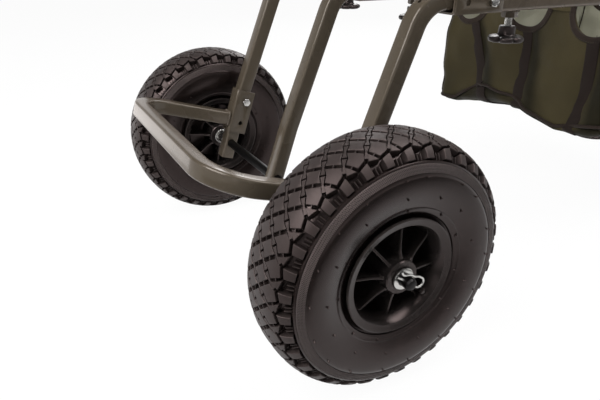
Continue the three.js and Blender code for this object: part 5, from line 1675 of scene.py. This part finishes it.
def makeTab(side, x, width):
    # a cloth tab that hangs the panel from its cross bar, sewn back on itself
    barLow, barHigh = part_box("deck_cross_bar_1" if side < 0 else "deck_cross_bar_3")
    middle, half = (barLow.y + barHigh.y) / 2, tube["size"] / 2 + 0.0012
    panel = bagMiddle + side * bagHalfY
    profile = [(panel + side * 0.0016, bagHigh.z - 0.020), (panel + side * 0.0020, bagHigh.z + 0.004),
               (middle + side * half, barLow.z + 0.002), (middle + side * half, barHigh.z - 0.003),
               (middle + side * (half - 0.0035), barHigh.z + 0.0012), (middle, barHigh.z + 0.0016),
               (middle - side * (half - 0.0035), barHigh.z + 0.0012), (middle - side * half, barHigh.z - 0.003),
               (middle - side * half, barLow.z + 0.002), (panel - side * 0.0030, bagHigh.z + 0.003),
               (panel - side * 0.0026, bagHigh.z - 0.020)]
    stations = route([(x, y, z) for y, z in profile], [0.002] * (len(profile) - 2), 3)
    points = [place for place, _ in stations]
    normals = [heading.cross(alongX) for _, heading in stations]
    tab = strip("bagTab", points, normals, width, 0.0014, "olive")
    edges = []
    for way in (-1, 1):
        line = [p + alongX * way * (width / 2 - 0.002) for p in points]
        edges.append(strip("tabBinding", line, normals, 0.006, 0.0026, "binding"))
    return [tab, *edges]


def makeRailStrap(side, y):
    railLow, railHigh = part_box("side_rail_near" if side > 0 else "side_rail_far")
    centre, half = (railLow.x + railHigh.x) / 2, railTube["size"] / 2 + 0.0012
    top, low = railHigh.z, railHigh.z - railTube["size"]
    wall = bagMiddle + y
    x = side * bagHalfX
    profile = [(x + side * 0.0022, low - 0.034), (x + side * 0.0024, low - 0.003),
               (centre + side * half, low + 0.004), (centre + side * half, top + 0.0012),
               (centre - side * half, top + 0.0012), (centre - side * half, low - 0.0012),
               (x - side * 0.0040, low - 0.0024), (x - side * 0.0034, low - 0.030)]
    stations = route([(px, wall, pz) for px, pz in profile], [0.003] * (len(profile) - 2), 4)
    return strip("railStrap", [p for p, _ in stations], [h.cross(alongY) for _, h in stations], 0.020, 0.0015)


shell = makeBagShell()
bagPiece = joinPieces("undercarriageBag", [shell, *makeBagTrim()])
finish(bagPiece, "bed", "undercarriage_bag")
print("bag made")


light = {
    "skyStrength": 0.08, "sky": (1.0, 0.995, 0.99), "backdrop": (0.97, 0.97, 0.97), "backdropFoot": 0.02,
    "backdropTop": 0.55, "overhead": 0.12, "floorReach": 12.0, "floorWhite": 0.96, "floor": (0.80, 0.80, 0.80),
    "paperEnd": 0.62, "paperFade": 0.16, "paperSlant": -0.35, "beside": 0.04,
    # where each lamp stands, what it faces, its width and height, its power
    "lamps": {
        "keyLight": ((0.25, -2.0, 1.75), (0, -0.5, 0.15), (1.5, 1.5), 75.0),
        "fillLight": ((1.9, -1.3, 1.1), (0.2, -0.5, 0.15), (0.5, 0.5), 3.0),
        "rimLight": ((-1.7, 0.9, 1.3), (0, -0.4, 0.2), (1.2, 1.2), 22.0),
        "topLight": ((0.45, 0.20, 1.80), (0.1, -0.5, 0.1), (1.3, 1.3), 37.0),
        "hoopCard": ((-0.95, -1.08, 0.12), (0, -0.735, 0.2), (0.5, 0.22), 0.45),
    },
}


def seenDirectly(tree, path):
    # 1 for camera, glossy and transmission rays
    first = mathNode(tree, "MAXIMUM", path["Is Camera Ray"], path["Is Glossy Ray"])
    return mathNode(tree, "MAXIMUM", first, path["Is Transmission Ray"])


def makeFloor():
    reach = light["floorReach"]
    mesh = bpy.data.meshes.new("studioFloor")
    mesh.from_pydata([(-reach, -reach, 0), (reach, -reach, 0), (reach, reach, 0), (-reach, reach, 0)], [],
                     [(0, 1, 2, 3)])
    material = bpy.data.materials.new("paleFloor")
    material.use_nodes = True
    tree = material.node_tree
    shader = setInputs(tree, tree.nodes["Principled BSDF"], {
        "Base Color": (*light["floor"], 1), "Roughness": 0.8, "Specular IOR Level": 0.0})
    path = addNode(tree, "ShaderNodeLightPath").outputs
    # reflections see the paper end beside the object, where the studio is dark
    place = addNode(tree, "ShaderNodeNewGeometry").outputs["Position"]
    split = addNode(tree, "ShaderNodeSeparateXYZ", {0: place}).outputs
    slanted = mathNode(tree, "MULTIPLY_ADD", split["Y"], light["paperSlant"], split["X"])
    ended = rampNode(tree, slanted, light["paperEnd"], light["paperEnd"] + light["paperFade"])
    dark = mathNode(tree, "MULTIPLY", ended, path["Is Glossy Ray"])
    colour = mixColours(tree, dark, (1, 1, 1), (light["beside"],) * 3)
    plain = addNode(tree, "ShaderNodeEmission", {"Color": colour, "Strength": 1.0})
    share = mathNode(tree, "MULTIPLY", seenDirectly(tree, path), light["floorWhite"])
    mix = addNode(tree, "ShaderNodeMixShader", {"Fac": share, 1: shader.outputs[0], 2: plain.outputs[0]})
    setInputs(tree, tree.nodes["Material Output"], {"Surface": mix.outputs[0]})
    mesh.materials.append(material)
    return newObject("studioFloor", mesh)


def makeLight(name, place, target, size, power):
    data = bpy.data.lights.new(name, "AREA")
    data.shape = "RECTANGLE"
    data.size, data.size_y = size
    data.energy = power
    lamp = newObject(name, data)
    lamp.location = place
    lamp.rotation_euler = (Vector(target) - Vector(place)).to_track_quat("-Z", "Y").to_euler()
    lamp.visible_camera = False
    lamp.visible_glossy = name != "fillLight"
    return lamp


def makeWorld():
    world = bpy.data.worlds.new("studio")
    bpy.context.scene.world = world
    world.use_nodes = True
    tree = world.node_tree
    tree.nodes.clear()
    path = addNode(tree, "ShaderNodeLightPath").outputs
    sky = addNode(tree, "ShaderNodeBackground", {"Color": (*light["sky"], 1), "Strength": light["skyStrength"]})
    # the backdrop: white, but reflections find it softly darker overhead
    place = addNode(tree, "ShaderNodeTexCoord").outputs["Generated"]
    height = addNode(tree, "ShaderNodeSeparateXYZ", {0: place}).outputs["Z"]
    raised = rampNode(tree, height, light["backdropFoot"], light["backdropTop"])
    reflected = mathNode(tree, "MULTIPLY", raised, path["Is Glossy Ray"])
    colour = mixColours(tree, reflected, light["backdrop"], (light["overhead"],) * 3)
    white = addNode(tree, "ShaderNodeBackground", {"Color": colour, "Strength": 1.0})
    mix = addNode(tree, "ShaderNodeMixShader", {
        "Fac": seenDirectly(tree, path), 1: sky.outputs[0], 2: white.outputs[0]})
    addNode(tree, "ShaderNodeOutputWorld", {"Surface": mix.outputs[0]})


floor = makeFloor()
makeWorld()
lamps = [makeLight(name, *values) for name, values in light["lamps"].items()]
bpy.context.scene.view_settings.view_transform = "Standard"
